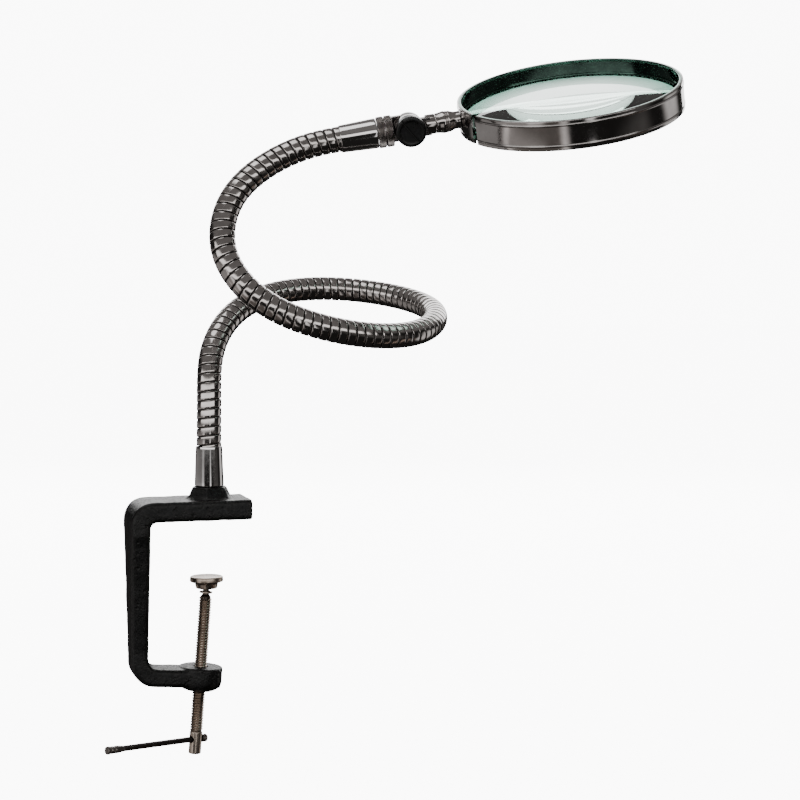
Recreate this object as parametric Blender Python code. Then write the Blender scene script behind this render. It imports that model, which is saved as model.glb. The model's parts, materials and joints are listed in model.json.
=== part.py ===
"""Desk magnifier: a round lens on a flexible gooseneck arm that clamps to a table edge.

Metres, +Z up. The origin is on the axis of the lower ferrule, at the flat underside of the
clamp's upper jaw, where it rests on the tabletop. +X runs along the jaws, away from the spine.
"""

import math

import bmesh
import bpy
import numpy as np
from mathutils import Matrix, Vector

GAP = 0.0003  # clearance between neighbouring solids

# Cast clamp frame
JAW_THICKNESS = 0.0095
JAW_REACH = 0.018  # from the ferrule's axis to the tip of the upper jaw
JAW_WIDTH = 0.030
THROAT = 0.0703  # from the upper jaw's underside down to the lower arm, at the spine
LOWER_ARM_THICKNESS = 0.0085
LOWER_ARM_WIDTH = 0.0165
LOWER_ARM_DROOP = math.radians(4.4)  # the open end has been sprung down by clamping
SPINE_INNER_X = -0.030
SPINE_THICKNESS = 0.009
SPINE_TAPER = 0.001  # the spine is this much thinner at its foot
SPINE_LEAN = 0.0006  # the inner face leans back this much by its foot
TOP_INNER_RADIUS = 0.003
TOP_OUTER_RADIUS = 0.010
FOOT_INNER_RADIUS = 0.005
FOOT_THICKNESS = 0.008  # the casting's wall where the spine meets the foot
FOOT_OUTER_RADIUS = 0.0115
CASTING_EDGE = 0.0016  # rounding of the casting's long edges
SEAT_TOP_Z = 0.0150  # top of the hexagonal seat under the ferrule
SEAT_FOOT_RADIUS = 0.0122
SEAT_TOP_RADIUS = 0.0088
BOSS_RADIUS = 0.0105
BOSS_DEPTH = 0.0135

# Clamp screw, pad and tommy bar
TABLE_THICKNESS = 0.028  # what the clamp grips at rest
PAD_RADIUS = 0.008
PAD_THICKNESS = 0.0048
BALL_RADIUS = 0.0022
BALL_DEPTH = 0.0034  # ball centre below the pad's face
SCREW_RADIUS = 0.0031
SCREW_BORE_RADIUS = 0.0034
SCREW_LENGTH = 0.0821  # from the ball's centre to the lower end
SCREW_PLAIN_LENGTH = 0.0105  # unthreaded head at the lower end
BALL_X = -0.0016
CROSS_HOLE_HEIGHT = 0.0070  # above the screw's lower end
BAR_RADIUS = 0.00135
BAR_HOLE_RADIUS = 0.00175
BAR_LONG_END = 0.0520  # from the screw's axis to the end of the long side
BAR_SHORT_END = 0.0062
BAR_YAW = math.radians(208.5)  # heading of the long side
GRIP_LENGTH = 0.0095
STOP_LENGTH = 0.0026
GRIP_RADIUS = 0.0019

# Ferrules and the studs inside them
FERRULE_LENGTH = 0.0188
FERRULE_WIDE_RADIUS = 0.0069
FERRULE_NARROW_RADIUS = 0.0063
FERRULE_BORE_RADIUS = 0.0056
FERRULE_FLOOR = 0.0046  # solid end with only the stud's hole
STUD_RADIUS = 0.0030
STUD_COLLAR_RADIUS = 0.0053
STUD_COLLAR_LENGTH = 0.0034
PILOT_LENGTH = 0.0060  # stud inside the hollow neck
LOWER_FERRULE_Z = SEAT_TOP_Z + GAP

# Gooseneck
NECK_RADIUS = 0.00585
NECK_TENON_RADIUS = 0.0053  # where it sits inside a ferrule
NECK_BORE_RADIUS = 0.0041
NECK_TENON = 0.0100
NECK_SIDES = 12
JOINT_COUNT = 18
FIXED_TAIL = 0.008  # stiff length outside each ferrule
SIDE_JOINTS = (3, 7, 11, 15)  # these bend the neck sideways, the others along its curl
LINK_GAP = 0.0004
LINK_STATIONS = 4  # lengths that each link's curve is cut into
UNCURL_SHARE = 0.9  # of a joint's rest bend
SMALL_UNCURL = math.radians(10)
EXTRA_CURL = math.radians(5)
SIDE_SWING = math.radians(20)
CONE_MARGIN = 0.02  # extra slope of the links' ends beyond what their turn needs
# The rest route, as points that the neck's centre line passes through
NECK_ROUTE = (
    (0.0, 0.0, 0.0341),
    (0.0004, 0.0012, 0.055),
    (0.0028, 0.0065, 0.0775),
    (0.0155, 0.0185, 0.0960),
    (0.0430, 0.0325, 0.1072),
    (0.0700, 0.0345, 0.1089),
    (0.0930, 0.0230, 0.1062),
    (0.1075, -0.0125, 0.0977),
    (0.0885, -0.0460, 0.0884),
    (0.0640, -0.0572, 0.0877),
    (0.0360, -0.0600, 0.0930),
    (0.0110, -0.0561, 0.1056),
    (-0.0015, -0.0480, 0.1260),
    (0.0040, -0.0408, 0.1495),
    (0.0200, -0.0383, 0.1645),
    (0.0405, -0.0395, 0.1740),
    (0.0537, -0.0422, 0.1770),
)

# Head
ARM_AZIMUTH = math.radians(-11.7)
ARM_RISE = math.radians(9.7)
HEAD_ROLL = math.radians(19.9)
UPPER_FERRULE_LENGTH = 0.0170
PIVOT_DISTANCE = 0.0321  # from the upper ferrule's mouth to the tilt axis
COLLAR_RADIUS = 0.0069
COLLAR_GROOVE_RADIUS = 0.0060
COLLAR_BAND = 0.0034
SPIGOT_RADIUS = 0.0036
SPIGOT_LENGTH = 0.0055
EYE_RADIUS = 0.0066
EYE_CLEARANCE = 0.0077  # both shoulders stay this far from the tilt axis
EYE_INNER_FACE = 0.0006
COLLAR_TONGUE_WIDTH = 0.0116
STEM_TONGUE_WIDTH = 0.0084
TONGUE_ROOT = 0.0010  # how deep a tongue runs into its own body
TONGUE_REACH = 0.003  # a tongue stops this far from the tilt axis
EYE_OUTER_FACE = 0.0035
PIN_RADIUS = 0.0020
PIN_HOLE_RADIUS = 0.0023
STEM_RADIUS = 0.0046
STEM_END = 0.0121
NECK_BULB_RADIUS = 0.0051
WASHER_THICKNESS = 0.0004
KNOB_RADIUS = 0.0071
KNOB_THICKNESS = 0.0043
KNOB_SLOT_WIDTH = 0.0009
KNOB_SLOT_DEPTH = 0.0011
KNOB_SLOT_TURN = math.radians(58)

# Rim and lens
RIM_RADIUS = 0.0520
RIM_HEIGHT = 0.0135
RIM_WALL = 0.0013
RIM_SEAT_DEPTH = 0.0028
RIM_SEAT_REACH = 0.0028  # inward, measured from the outside
RIM_CENTRE = 0.0757  # from the tilt axis to the middle of the lens
RIM_DROP = 0.0008  # the band's mid height is this far below the arm's axis
SPLIT_WIDTH = 0.0034
SPLIT_TURN = math.radians(21.0)  # round the rim from the neck
LENS_RADIUS = 0.0502
LENS_EDGE = 0.0024
LENS_SAG = 0.0050
SNAP_RING_WIDTH = 0.0008


def clear_scene():
    for obj in list(bpy.data.objects):
        bpy.data.objects.remove(obj, do_unlink=True)


def make_material(name, colour, roughness, metallic, alpha=1.0):
    mat = bpy.data.materials.new(name)
    mat.use_nodes = True
    shader = mat.node_tree.nodes["Principled BSDF"]
    shader.inputs["Base Color"].default_value = (*colour, 1.0)
    shader.inputs["Roughness"].default_value = roughness
    shader.inputs["Metallic"].default_value = metallic
    shader.inputs["Alpha"].default_value = alpha
    mat.diffuse_color = (*colour, 1.0)
    return mat


def materials():
    return {
        "cast": make_material("black_enamel", (0.015, 0.016, 0.017), 0.45, 0.0),
        "chrome": make_material("chrome", (0.55, 0.54, 0.54), 0.12, 1.0),
        "nickel": make_material("dark_nickel", (0.30, 0.27, 0.25), 0.22, 1.0),
        "steel": make_material("bronzed_steel", (0.34, 0.29, 0.25), 0.30, 1.0),
        "plastic": make_material("black_plastic", (0.02, 0.02, 0.022), 0.4, 0.0),
        "glass": make_material("lens_glass", (0.85, 0.95, 0.92), 0.02, 0.0, 0.35),
    }


def frame_matrix(origin, x_axis, y_axis, z_axis):
    """A placement whose local axes point along the three given directions."""
    turn = Matrix((x_axis, y_axis, z_axis)).transposed()
    return Matrix.Translation(origin) @ turn.to_4x4()


def axis_frame(origin, direction, side=(0.0, 1.0, 0.0)):
    """A placement whose local Z runs along direction and local Y leans to side."""
    z = Vector(direction).normalized()
    x = Vector(side).cross(z).normalized()
    return frame_matrix(origin, x, z.cross(x), z)


def add_object(name, bm, mat, place=None, modifiers=()):
    """Turns a bmesh into a placed object with outward faces and smooth round sides."""
    bmesh.ops.remove_doubles(bm, verts=bm.verts, dist=1e-6)
    bmesh.ops.dissolve_degenerate(bm, edges=bm.edges, dist=1e-6)
    bmesh.ops.recalc_face_normals(bm, faces=bm.faces)
    mesh = bpy.data.meshes.new(name)
    bm.to_mesh(mesh)
    bm.free()
    mesh.shade_smooth()
    mesh.set_sharp_from_angle(angle=math.radians(35))
    mesh.materials.append(mat)
    obj = bpy.data.objects.new(name, mesh)
    bpy.context.scene.collection.objects.link(obj)
    if place is not None:
        obj.matrix_world = place
    for operation, other in modifiers:
        boolean = obj.modifiers.new(operation.lower(), "BOOLEAN")
        boolean.operation = operation
        boolean.solver = "EXACT"
        boolean.object = other
    return obj


def as_guide(obj):
    """Marks a cutter or a joined-on shape, which is not a piece of its own."""
    obj.hide_render = True
    obj.display_type = "WIRE"
    return obj


def turned(profile, sides, closed=False):
    """Spins (radius, height) points round Z; a closed outline gives a ring."""
    bm = bmesh.new()
    verts = [bm.verts.new((r, 0.0, z)) for r, z in profile]
    edges = [bm.edges.new(pair) for pair in zip(verts, verts[1:])]
    if closed:
        edges.append(bm.edges.new((verts[-1], verts[0])))
    bmesh.ops.spin(
        bm,
        geom=verts + edges,
        axis=(0.0, 0.0, 1.0),
        cent=(0.0, 0.0, 0.0),
        angle=2 * math.pi,
        steps=sides,
        use_duplicate=False,
    )
    return bm


def split_ring(profile, sides, slit, heading):
    """A closed outline swept almost all the way round Z, open by the angle slit at a heading."""
    rings = []
    for angle in np.linspace(heading + slit / 2, heading + 2 * math.pi - slit / 2, sides):
        rings.append([(r * math.cos(angle), r * math.sin(angle), z) for r, z in profile])
    return lofted(rings)


def lofted(rings):
    """Skins a list of equal rings of points and closes both ends."""
    bm = bmesh.new()
    loops = [[bm.verts.new(p) for p in ring] for ring in rings]
    for low, high in zip(loops, loops[1:]):
        for i in range(len(low)):
            j = (i + 1) % len(low)
            bm.faces.new((low[i], low[j], high[j], high[i]))
    bm.faces.new(list(reversed(loops[0])))
    bm.faces.new(loops[-1])
    return bm


def cylinder(radius, bottom, top, sides=24):
    return turned([(0, bottom), (radius, bottom), (radius, top), (0, top)], sides)


def block(low, high):
    bm = bmesh.new()
    size = [b - a for a, b in zip(low, high)]
    middle = [(a + b) / 2 for a, b in zip(low, high)]
    place = Matrix.Translation(middle) @ Matrix.Diagonal((*size, 1.0))
    bmesh.ops.create_cube(bm, size=1.0, matrix=place)
    return bm


# ---------------------------------------------------------------- directions and places


def arm_axes():
    """The head's three directions: lens normal, knob axis and arm axis."""
    arm = Vector(
        (
            math.cos(ARM_RISE) * math.cos(ARM_AZIMUTH),
            math.cos(ARM_RISE) * math.sin(ARM_AZIMUTH),
            math.sin(ARM_RISE),
        )
    )
    up = (Vector((0, 0, 1)) - arm.z * arm).normalized()
    side = arm.cross(up)
    normal = math.cos(HEAD_ROLL) * up + math.sin(HEAD_ROLL) * side
    return normal, arm.cross(normal), arm


def upper_mouth():
    return Vector(NECK_ROUTE[-1])


def tilt_pivot():
    return upper_mouth() + PIVOT_DISTANCE * arm_axes()[2]


def head_frame():
    """Origin on the tilt axis: X the lens normal, Y the knob axis, Z along the arm."""
    return frame_matrix(tilt_pivot(), *arm_axes())


def lens_frame():
    """Origin at the middle of the rim's lower edge: Z the lens normal, X away from the neck."""
    normal, knob, arm = arm_axes()
    middle = tilt_pivot() + RIM_CENTRE * arm - RIM_DROP * normal
    return frame_matrix(middle - RIM_HEIGHT / 2 * normal, arm, -knob, normal)


def screw_axis():
    return Vector((math.sin(LOWER_ARM_DROOP), 0.0, math.cos(LOWER_ARM_DROOP)))


def ball_centre():
    return Vector((BALL_X, 0.0, -TABLE_THICKNESS - BALL_DEPTH))


def screw_frame():
    """Origin at the ball: Z up the screw."""
    return axis_frame(ball_centre(), screw_axis())


def bar_frame():
    """Origin at the cross hole's centre: Z along the bar, towards its short end."""
    origin = ball_centre() - (SCREW_LENGTH - CROSS_HOLE_HEIGHT) * screw_axis()
    turn = Matrix.Rotation(BAR_YAW + math.pi, 4, "Z")
    along = (screw_frame().to_3x3() @ turn.to_3x3()) @ Vector((1.0, 0.0, 0.0))
    return axis_frame(origin, along, screw_axis())


# ---------------------------------------------------------------- gooseneck centre line


def smooth_route(points, first_slope, last_slope, count=1200):
    """A cubic spline through the points with set end directions, sampled evenly along it."""
    pts = np.array(points)
    steps = np.linalg.norm(np.diff(pts, axis=0), axis=1)
    knots = np.concatenate(([0.0], np.cumsum(steps)))
    size = len(pts)
    system = np.zeros((size, size))
    target = np.zeros((size, 3))
    system[0, 0] = system[-1, -1] = 1.0
    target[0] = first_slope
    target[-1] = last_slope
    for i in range(1, size - 1):
        before, after = steps[i - 1], steps[i]
        system[i, i - 1 : i + 2] = (1 / before, 2 / before + 2 / after, 1 / after)
        rise = (pts[i] - pts[i - 1]) / before**2 + (pts[i + 1] - pts[i]) / after**2
        target[i] = 3 * rise
    slopes = np.linalg.solve(system, target)
    place = np.linspace(0.0, knots[-1], 4 * count)
    span = np.clip(np.searchsorted(knots, place, side="right") - 1, 0, size - 2)
    width = steps[span][:, None]
    u = (place[:, None] - knots[span][:, None]) / width
    line = (
        (2 * u**3 - 3 * u**2 + 1) * pts[span]
        + (u**3 - 2 * u**2 + u) * width * slopes[span]
        + (-2 * u**3 + 3 * u**2) * pts[span + 1]
        + (u**3 - u**2) * width * slopes[span + 1]
    )
    travelled = np.concatenate(([0.0], np.cumsum(np.linalg.norm(np.diff(line, axis=0), axis=1))))
    even = np.linspace(0.0, travelled[-1], count)
    return even, np.stack([np.interp(even, travelled, line[:, k]) for k in range(3)], axis=1)


class NeckLine:
    """The neck's centre line, with a frame that never spins round it."""

    def __init__(self):
        arm = np.array(arm_axes()[2])
        run, line = smooth_route(NECK_ROUTE, (0.0, 0.0, 1.0), arm)
        step = run[1]
        tail = int(NECK_TENON / step) + 1
        before = line[0] - np.arange(tail, 0, -1)[:, None] * step * np.array((0.0, 0.0, 1.0))
        after = line[-1] + np.arange(1, tail + 1)[:, None] * step * arm
        self.line = np.concatenate((before, line, after))
        self.run = (np.arange(len(self.line)) - tail) * step
        self.length = run[-1]
        tangent = np.gradient(self.line, axis=0)
        self.tangent = tangent / np.linalg.norm(tangent, axis=1)[:, None]
        side = np.array((1.0, 0.0, 0.0))
        self.side = np.empty_like(self.line)
        for i, direction in enumerate(self.tangent):
            side = side - direction * side.dot(direction)
            side = side / np.linalg.norm(side)
            self.side[i] = side

    def at(self, run):
        """Centre, tangent, side and cross side at a distance along the neck."""

        def read(values):
            return np.array([np.interp(run, self.run, values[:, k]) for k in range(3)])

        tangent = read(self.tangent)
        tangent = tangent / np.linalg.norm(tangent)
        side = read(self.side)
        side = side - tangent * side.dot(tangent)
        side = side / np.linalg.norm(side)
        return read(self.line), tangent, side, np.cross(tangent, side)

    def joint_runs(self):
        return np.linspace(FIXED_TAIL, self.length - FIXED_TAIL, JOINT_COUNT)


def neck_joints(neck):
    """Each neck joint's place, axis and turning range; a positive turn adds to the curl."""
    runs = neck.joint_runs()
    half = (runs[1] - runs[0]) / 2
    joints = []
    for index, run in enumerate(runs):
        centre, tangent, _, _ = neck.at(run)
        before = neck.at(run - half)[1]
        after = neck.at(run + half)[1]
        curl_axis = np.cross(before, after)
        bend = math.asin(min(1.0, np.linalg.norm(curl_axis)))
        curl_axis = curl_axis - tangent * curl_axis.dot(tangent)
        curl_axis = curl_axis / np.linalg.norm(curl_axis)
        sideways = index in SIDE_JOINTS
        axis = np.cross(curl_axis, tangent) if sideways else curl_axis
        low = -SIDE_SWING if sideways else -max(UNCURL_SHARE * bend, SMALL_UNCURL)
        high = SIDE_SWING if sideways else EXTRA_CURL
        joints.append({"centre": centre, "axis": axis, "low": low, "high": high})
    return joints


def neck_ring(neck, run, radius, shift=0.0):
    centre, tangent, side, cross = neck.at(run)
    ring = []
    for i in range(NECK_SIDES):
        angle = 2 * math.pi * i / NECK_SIDES
        spoke = math.cos(angle) * side + math.sin(angle) * cross
        ring.append(Vector(centre + shift * tangent + radius * spoke))
    return ring


def neck_link(neck, start, end, slope_start, slope_end, tenon_start, tenon_end):
    """One hollow length of the neck. Its ends are shallow cones, so that it can tilt."""
    inner = NECK_BORE_RADIUS
    start_radius = NECK_TENON_RADIUS if tenon_start else NECK_RADIUS
    end_radius = NECK_TENON_RADIUS if tenon_end else NECK_RADIUS
    half_gap = LINK_GAP / 2
    rings = [neck_ring(neck, start, start_radius, half_gap + slope_start * start_radius)]
    if tenon_start:
        rings.append(neck_ring(neck, 0.0, NECK_TENON_RADIUS))
        rings.append(neck_ring(neck, 2 * GAP, NECK_RADIUS))
    first = max(start, 0.0)
    last = min(end, neck.length)
    for part in np.linspace(first, last, LINK_STATIONS + 1)[1:-1]:
        rings.append(neck_ring(neck, part, NECK_RADIUS))
    if tenon_end:
        rings.append(neck_ring(neck, neck.length - 2 * GAP, NECK_RADIUS))
        rings.append(neck_ring(neck, neck.length, NECK_TENON_RADIUS))
    rings.append(neck_ring(neck, end, end_radius, -half_gap - slope_end * end_radius))
    rings.append(neck_ring(neck, end, inner, -half_gap - slope_end * inner))
    for part in np.linspace(end, start, LINK_STATIONS + 1)[1:-1]:
        rings.append(neck_ring(neck, part, inner))
    rings.append(neck_ring(neck, start, inner, half_gap + slope_start * inner))
    bm = bmesh.new()
    loops = [[bm.verts.new(p) for p in ring] for ring in rings]
    for low, high in zip(loops, loops[1:] + loops[:1]):
        for i in range(NECK_SIDES):
            j = (i + 1) % NECK_SIDES
            bm.faces.new((low[i], low[j], high[j], high[i]))
    return bm


# ---------------------------------------------------------------- clamp


def section(inner, outer, half_width, edge):
    """A rounded rectangle between an inner and an outer point of the C shape."""
    across = Vector((outer[0] - inner[0], 0.0, outer[1] - inner[1]))
    length = across.length
    across.normalize()
    base = Vector((inner[0], 0.0, inner[1]))
    near, far = edge, length - edge
    side = half_width - edge
    corners = (
        (near, -side, math.pi),
        (far, -side, 1.5 * math.pi),
        (far, side, 0.0),
        (near, side, math.pi / 2),
    )
    ring = []
    for u, v, begin in corners:
        for step in range(3):
            angle = begin + step * math.pi / 4
            reach = u + edge * math.cos(angle)
            ring.append(base + across * reach + Vector((0.0, v + edge * math.sin(angle), 0.0)))
    return ring


def corner_arc(centre, radius, begin, finish, steps):
    """Points on an arc in the XZ plane, angles from +X towards +Z."""
    angles = np.linspace(begin, finish, steps + 1)
    return [(centre[0] + radius * math.cos(a), centre[1] + radius * math.sin(a)) for a in angles]


def clamp_sections():
    """Sections of the casting from the upper jaw's tip round to the lower arm's tip."""
    droop = LOWER_ARM_DROOP
    down = Vector((math.sin(-droop), 0, -math.cos(droop)))
    along = Vector((math.cos(droop), 0, -math.sin(droop)))
    foot = Vector((SPINE_INNER_X, 0, -THROAT))
    outer_x = SPINE_INNER_X - SPINE_THICKNESS
    sections = []

    def add(inner, outer, width, edge=CASTING_EDGE):
        sections.append(section(inner, outer, width / 2, edge))

    for x in (JAW_REACH, JAW_REACH - 0.004, 0.0, SPINE_INNER_X + TOP_OUTER_RADIUS):
        add((x, 0.0), (x, JAW_THICKNESS), JAW_WIDTH)
    steps = 6
    inner_centre = (SPINE_INNER_X + TOP_INNER_RADIUS, -TOP_INNER_RADIUS)
    outer_centre = (outer_x + TOP_OUTER_RADIUS, JAW_THICKNESS - TOP_OUTER_RADIUS)
    quarter = math.pi / 2
    inner_arc = corner_arc(inner_centre, TOP_INNER_RADIUS, quarter, math.pi, steps)
    outer_arc = corner_arc(outer_centre, TOP_OUTER_RADIUS, quarter, math.pi, steps)
    for inner, outer in zip(inner_arc, outer_arc):
        add(inner, outer, JAW_WIDTH)
    spine_top = -0.006
    spine_foot = -THROAT + 0.008
    for part in np.linspace(0.0, 1.0, 6):
        z = spine_top + (spine_foot - spine_top) * part
        thickness = SPINE_THICKNESS - SPINE_TAPER * part
        width = JAW_WIDTH + (LOWER_ARM_WIDTH - JAW_WIDTH) * (part**0.8)
        inner_x = SPINE_INNER_X - SPINE_LEAN * part
        add((inner_x, z), (inner_x - thickness, z), width)
    turn = quarter - droop
    inner_face = SPINE_INNER_X - SPINE_LEAN
    inner_centre = Vector((inner_face + FOOT_INNER_RADIUS, 0, foot.z + FOOT_INNER_RADIUS))
    reach = FOOT_OUTER_RADIUS
    outer_floor = foot + down * LOWER_ARM_THICKNESS
    outer_centre = (inner_face - FOOT_THICKNESS + reach, outer_floor.z + reach)
    inner_arc = corner_arc((inner_centre.x, inner_centre.z), FOOT_INNER_RADIUS, math.pi, math.pi + turn, steps)
    outer_arc = corner_arc(outer_centre, reach, math.pi, math.pi + turn, steps)
    for inner, outer in zip(inner_arc, outer_arc):
        add(inner, outer, LOWER_ARM_WIDTH)
    start = Vector((inner_arc[-1][0], 0, inner_arc[-1][1]))
    for run in (0.008, 0.016, 0.024, 0.030):
        inner = start + along * run
        outer = inner + down * LOWER_ARM_THICKNESS
        add((inner.x, inner.z), (outer.x, outer.z), LOWER_ARM_WIDTH)
    return sections


def seat_shape():
    """The hexagonal seat, flared where it runs into the jaw."""
    rings = []
    sides = 24
    foot_z = JAW_THICKNESS - 0.0015
    heights = (
        (foot_z, SEAT_FOOT_RADIUS + 0.0008, 0.0),
        (JAW_THICKNESS, SEAT_FOOT_RADIUS + 0.0004, 0.15),
        (JAW_THICKNESS + 0.0007, SEAT_FOOT_RADIUS - 0.0008, 0.6),
        (JAW_THICKNESS + 0.0020, SEAT_FOOT_RADIUS - 0.0018, 1.0),
        (SEAT_TOP_Z - 0.0005, SEAT_TOP_RADIUS + 0.0002, 1.0),
        (SEAT_TOP_Z, SEAT_TOP_RADIUS - 0.0004, 0.8),
    )
    corner_heading = math.radians(-106)
    for z, radius, hexagonal in heights:
        ring = []
        for i in range(sides):
            angle = 2 * math.pi * i / sides
            flat = math.cos(math.pi / 6) / math.cos((angle + math.pi / 6) % (math.pi / 3) - math.pi / 6)
            reach = radius * (1 - hexagonal + hexagonal * flat)
            heading = corner_heading + angle + math.pi / 6
            ring.append(Vector((reach * math.cos(heading), reach * math.sin(heading), z)))
        rings.append(ring)
    return lofted(rings)


def make_clamp_frame(mats):
    boss_place = axis_frame(ball_centre(), screw_axis())
    # the boss reaches from just under the arm's top face to the domed underside
    arm_top = -(THROAT - TABLE_THICKNESS - BALL_DEPTH) / math.cos(LOWER_ARM_DROOP) - 0.0006
    boss_low = arm_top - BOSS_DEPTH + 0.0015
    boss_profile = [
        (0, boss_low),
        (BOSS_RADIUS * 0.5, boss_low + 0.0002),
        (BOSS_RADIUS * 0.85, boss_low + 0.0016),
        (BOSS_RADIUS, boss_low + 0.0038),
        (BOSS_RADIUS, arm_top - 0.0016),
        (BOSS_RADIUS - 0.0005, arm_top - 0.0006),
        (BOSS_RADIUS - 0.0016, arm_top - 0.0001),
        (0, arm_top - 0.0001),
    ]
    boss = as_guide(add_object("guide_boss", turned(boss_profile, 32), mats["cast"], boss_place))
    seat = as_guide(add_object("guide_seat", seat_shape(), mats["cast"]))
    bore = cylinder(SCREW_BORE_RADIUS, boss_low - 0.004, arm_top + 0.004)
    bore = as_guide(add_object("guide_screw_bore", bore, mats["cast"], boss_place))
    socket = cylinder(STUD_RADIUS + GAP, 0.0022, SEAT_TOP_Z + 0.002)
    socket = as_guide(add_object("guide_stud_socket", socket, mats["cast"]))
    steps = (("UNION", boss), ("UNION", seat), ("DIFFERENCE", bore), ("DIFFERENCE", socket))
    add_object("clamp_frame", lofted(clamp_sections()), mats["cast"], modifiers=steps)


def make_clamp_screw(mats):
    """The ball-ended screw and the loose ring under its pad."""
    place = screw_frame()
    lower_end = -SCREW_LENGTH
    ball = [
        (BALL_RADIUS * math.cos(a), BALL_RADIUS * math.sin(a))
        for a in np.linspace(math.pi / 2, -math.radians(42), 7)
    ]
    ball[0] = (0, BALL_RADIUS)
    profile = ball + [
        (0.0016, -0.0026),
        (0.0016, -0.0052),
        (SCREW_RADIUS - 0.0005, -0.0060),
        (SCREW_RADIUS, -0.0066),
        (SCREW_RADIUS, lower_end + SCREW_PLAIN_LENGTH),
        (SCREW_RADIUS - 0.0001, lower_end + SCREW_PLAIN_LENGTH - 0.0002),
        (SCREW_RADIUS - 0.0001, lower_end + 0.0006),
        (SCREW_RADIUS - 0.0006, lower_end),
        (0, lower_end),
    ]
    hole = cylinder(BAR_HOLE_RADIUS, -0.006, 0.006, 16)
    hole = as_guide(add_object("guide_cross_hole", hole, mats["steel"], bar_frame()))
    cut = (("DIFFERENCE", hole),)
    add_object("clamp_screw", turned(profile, 24), mats["steel"], place, cut)
    ring = [(0.0019, -0.0047), (0.0031, -0.0047), (0.0031, -0.0039), (0.0019, -0.0039)]
    add_object("pad_retaining_ring", turned(ring, 24, closed=True), mats["steel"], place)


def make_pressure_pad(mats):
    """A disc with a deep socket underneath for the ball."""
    socket = BALL_RADIUS + 0.0007
    face = BALL_DEPTH
    profile = [
        (0, face),
        (PAD_RADIUS - 0.0008, face),
        (PAD_RADIUS, face - 0.0008),
        (PAD_RADIUS, face - 0.0022),
        (0.0056, face - 0.0030),
        (0.0050, face - PAD_THICKNESS - 0.0010),
        (socket + 0.0006, face - PAD_THICKNESS - 0.0010),
        (socket + 0.0001, face - 0.0020),
        (0.0018, face - 0.0009),
        (0, face - 0.0009),
    ]
    place = Matrix.Translation(ball_centre())
    add_object("pressure_pad", turned(profile, 32), mats["steel"], place)


def make_tommy_bar(mats):
    """The bar and its two ridged ends, along local Z, with the short end at +Z."""
    place = bar_frame()
    low = -BAR_LONG_END + GRIP_LENGTH + GAP
    high = BAR_SHORT_END - STOP_LENGTH - GAP
    add_object("tommy_bar", cylinder(BAR_RADIUS, low, high, 16), mats["steel"], place)
    ridge = GRIP_RADIUS
    groove = GRIP_RADIUS - 0.0004
    tip = -BAR_LONG_END
    grip = [
        (0, tip),
        (ridge - 0.0004, tip),
        (ridge, tip + 0.0004),
        (ridge, tip + 0.0014),
        (groove, tip + 0.0019),
        (ridge - 0.0001, tip + 0.0026),
        (ridge - 0.0001, tip + 0.0034),
        (groove, tip + 0.0040),
        (ridge - 0.0001, tip + 0.0047),
        (ridge - 0.0001, tip + 0.0058),
        (BAR_RADIUS, tip + GRIP_LENGTH),
        (0, tip + GRIP_LENGTH),
    ]
    add_object("bar_grip", turned(grip, 16), mats["steel"], place)
    end = BAR_SHORT_END
    base = end - STOP_LENGTH
    stop = [
        (0, base),
        (ridge - 0.0003, base),
        (ridge, base + 0.0004),
        (ridge, base + 0.0010),
        (groove, base + 0.0013),
        (ridge, base + 0.0017),
        (ridge, end - 0.0003),
        (ridge - 0.0003, end),
        (0, end),
    ]
    add_object("bar_stop", turned(stop, 16), mats["steel"], place)


# ---------------------------------------------------------------- ferrules and neck


def ferrule_profile(length):
    """Ring outline from the wide end (height 0) to the narrow mouth."""
    return [
        (STUD_RADIUS + GAP, 0.0),
        (FERRULE_WIDE_RADIUS - 0.0004, 0.0),
        (FERRULE_WIDE_RADIUS, 0.0004),
        (FERRULE_WIDE_RADIUS, 0.0016),
        (FERRULE_NARROW_RADIUS, length - 0.0004),
        (FERRULE_NARROW_RADIUS - 0.0003, length),
        (FERRULE_BORE_RADIUS, length),
        (FERRULE_BORE_RADIUS, FERRULE_FLOOR),
        (STUD_RADIUS + GAP, FERRULE_FLOOR),
    ]


def stud_profile(tail_radius, tail_length, length):
    """A stud with a collar inside the ferrule; height 0 is the ferrule's wide end."""
    collar = FERRULE_FLOOR + GAP
    collar_end = length - NECK_TENON - GAP
    return [
        (0, -tail_length),
        (tail_radius - 0.0004, -tail_length),
        (tail_radius, -tail_length + 0.0004),
        (tail_radius, -GAP),
        (STUD_RADIUS, -GAP),
        (STUD_RADIUS, collar),
        (STUD_COLLAR_RADIUS, collar),
        (STUD_COLLAR_RADIUS, collar_end),
        (STUD_RADIUS, collar_end),
        (STUD_RADIUS, collar_end + PILOT_LENGTH),
        (0, collar_end + PILOT_LENGTH),
    ]


def make_ferrules(mats):
    lower = Matrix.Translation((0, 0, LOWER_FERRULE_Z))
    profile = ferrule_profile(FERRULE_LENGTH)
    add_object("lower_ferrule", turned(profile, 24, closed=True), mats["chrome"], lower)
    tail = LOWER_FERRULE_Z - 0.0022 - GAP
    stud = stud_profile(STUD_RADIUS, tail, FERRULE_LENGTH)
    add_object("lower_stud", turned(stud, 16), mats["steel"], lower)
    arm = arm_axes()[2]
    base = upper_mouth() + UPPER_FERRULE_LENGTH * arm
    upper = axis_frame(base, -arm)
    profile = ferrule_profile(UPPER_FERRULE_LENGTH)
    add_object("upper_ferrule", turned(profile, 24, closed=True), mats["chrome"], upper)
    stud = stud_profile(SPIGOT_RADIUS, SPIGOT_LENGTH, UPPER_FERRULE_LENGTH)
    add_object("swivel_spigot", turned(stud, 16), mats["steel"], upper)


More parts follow.
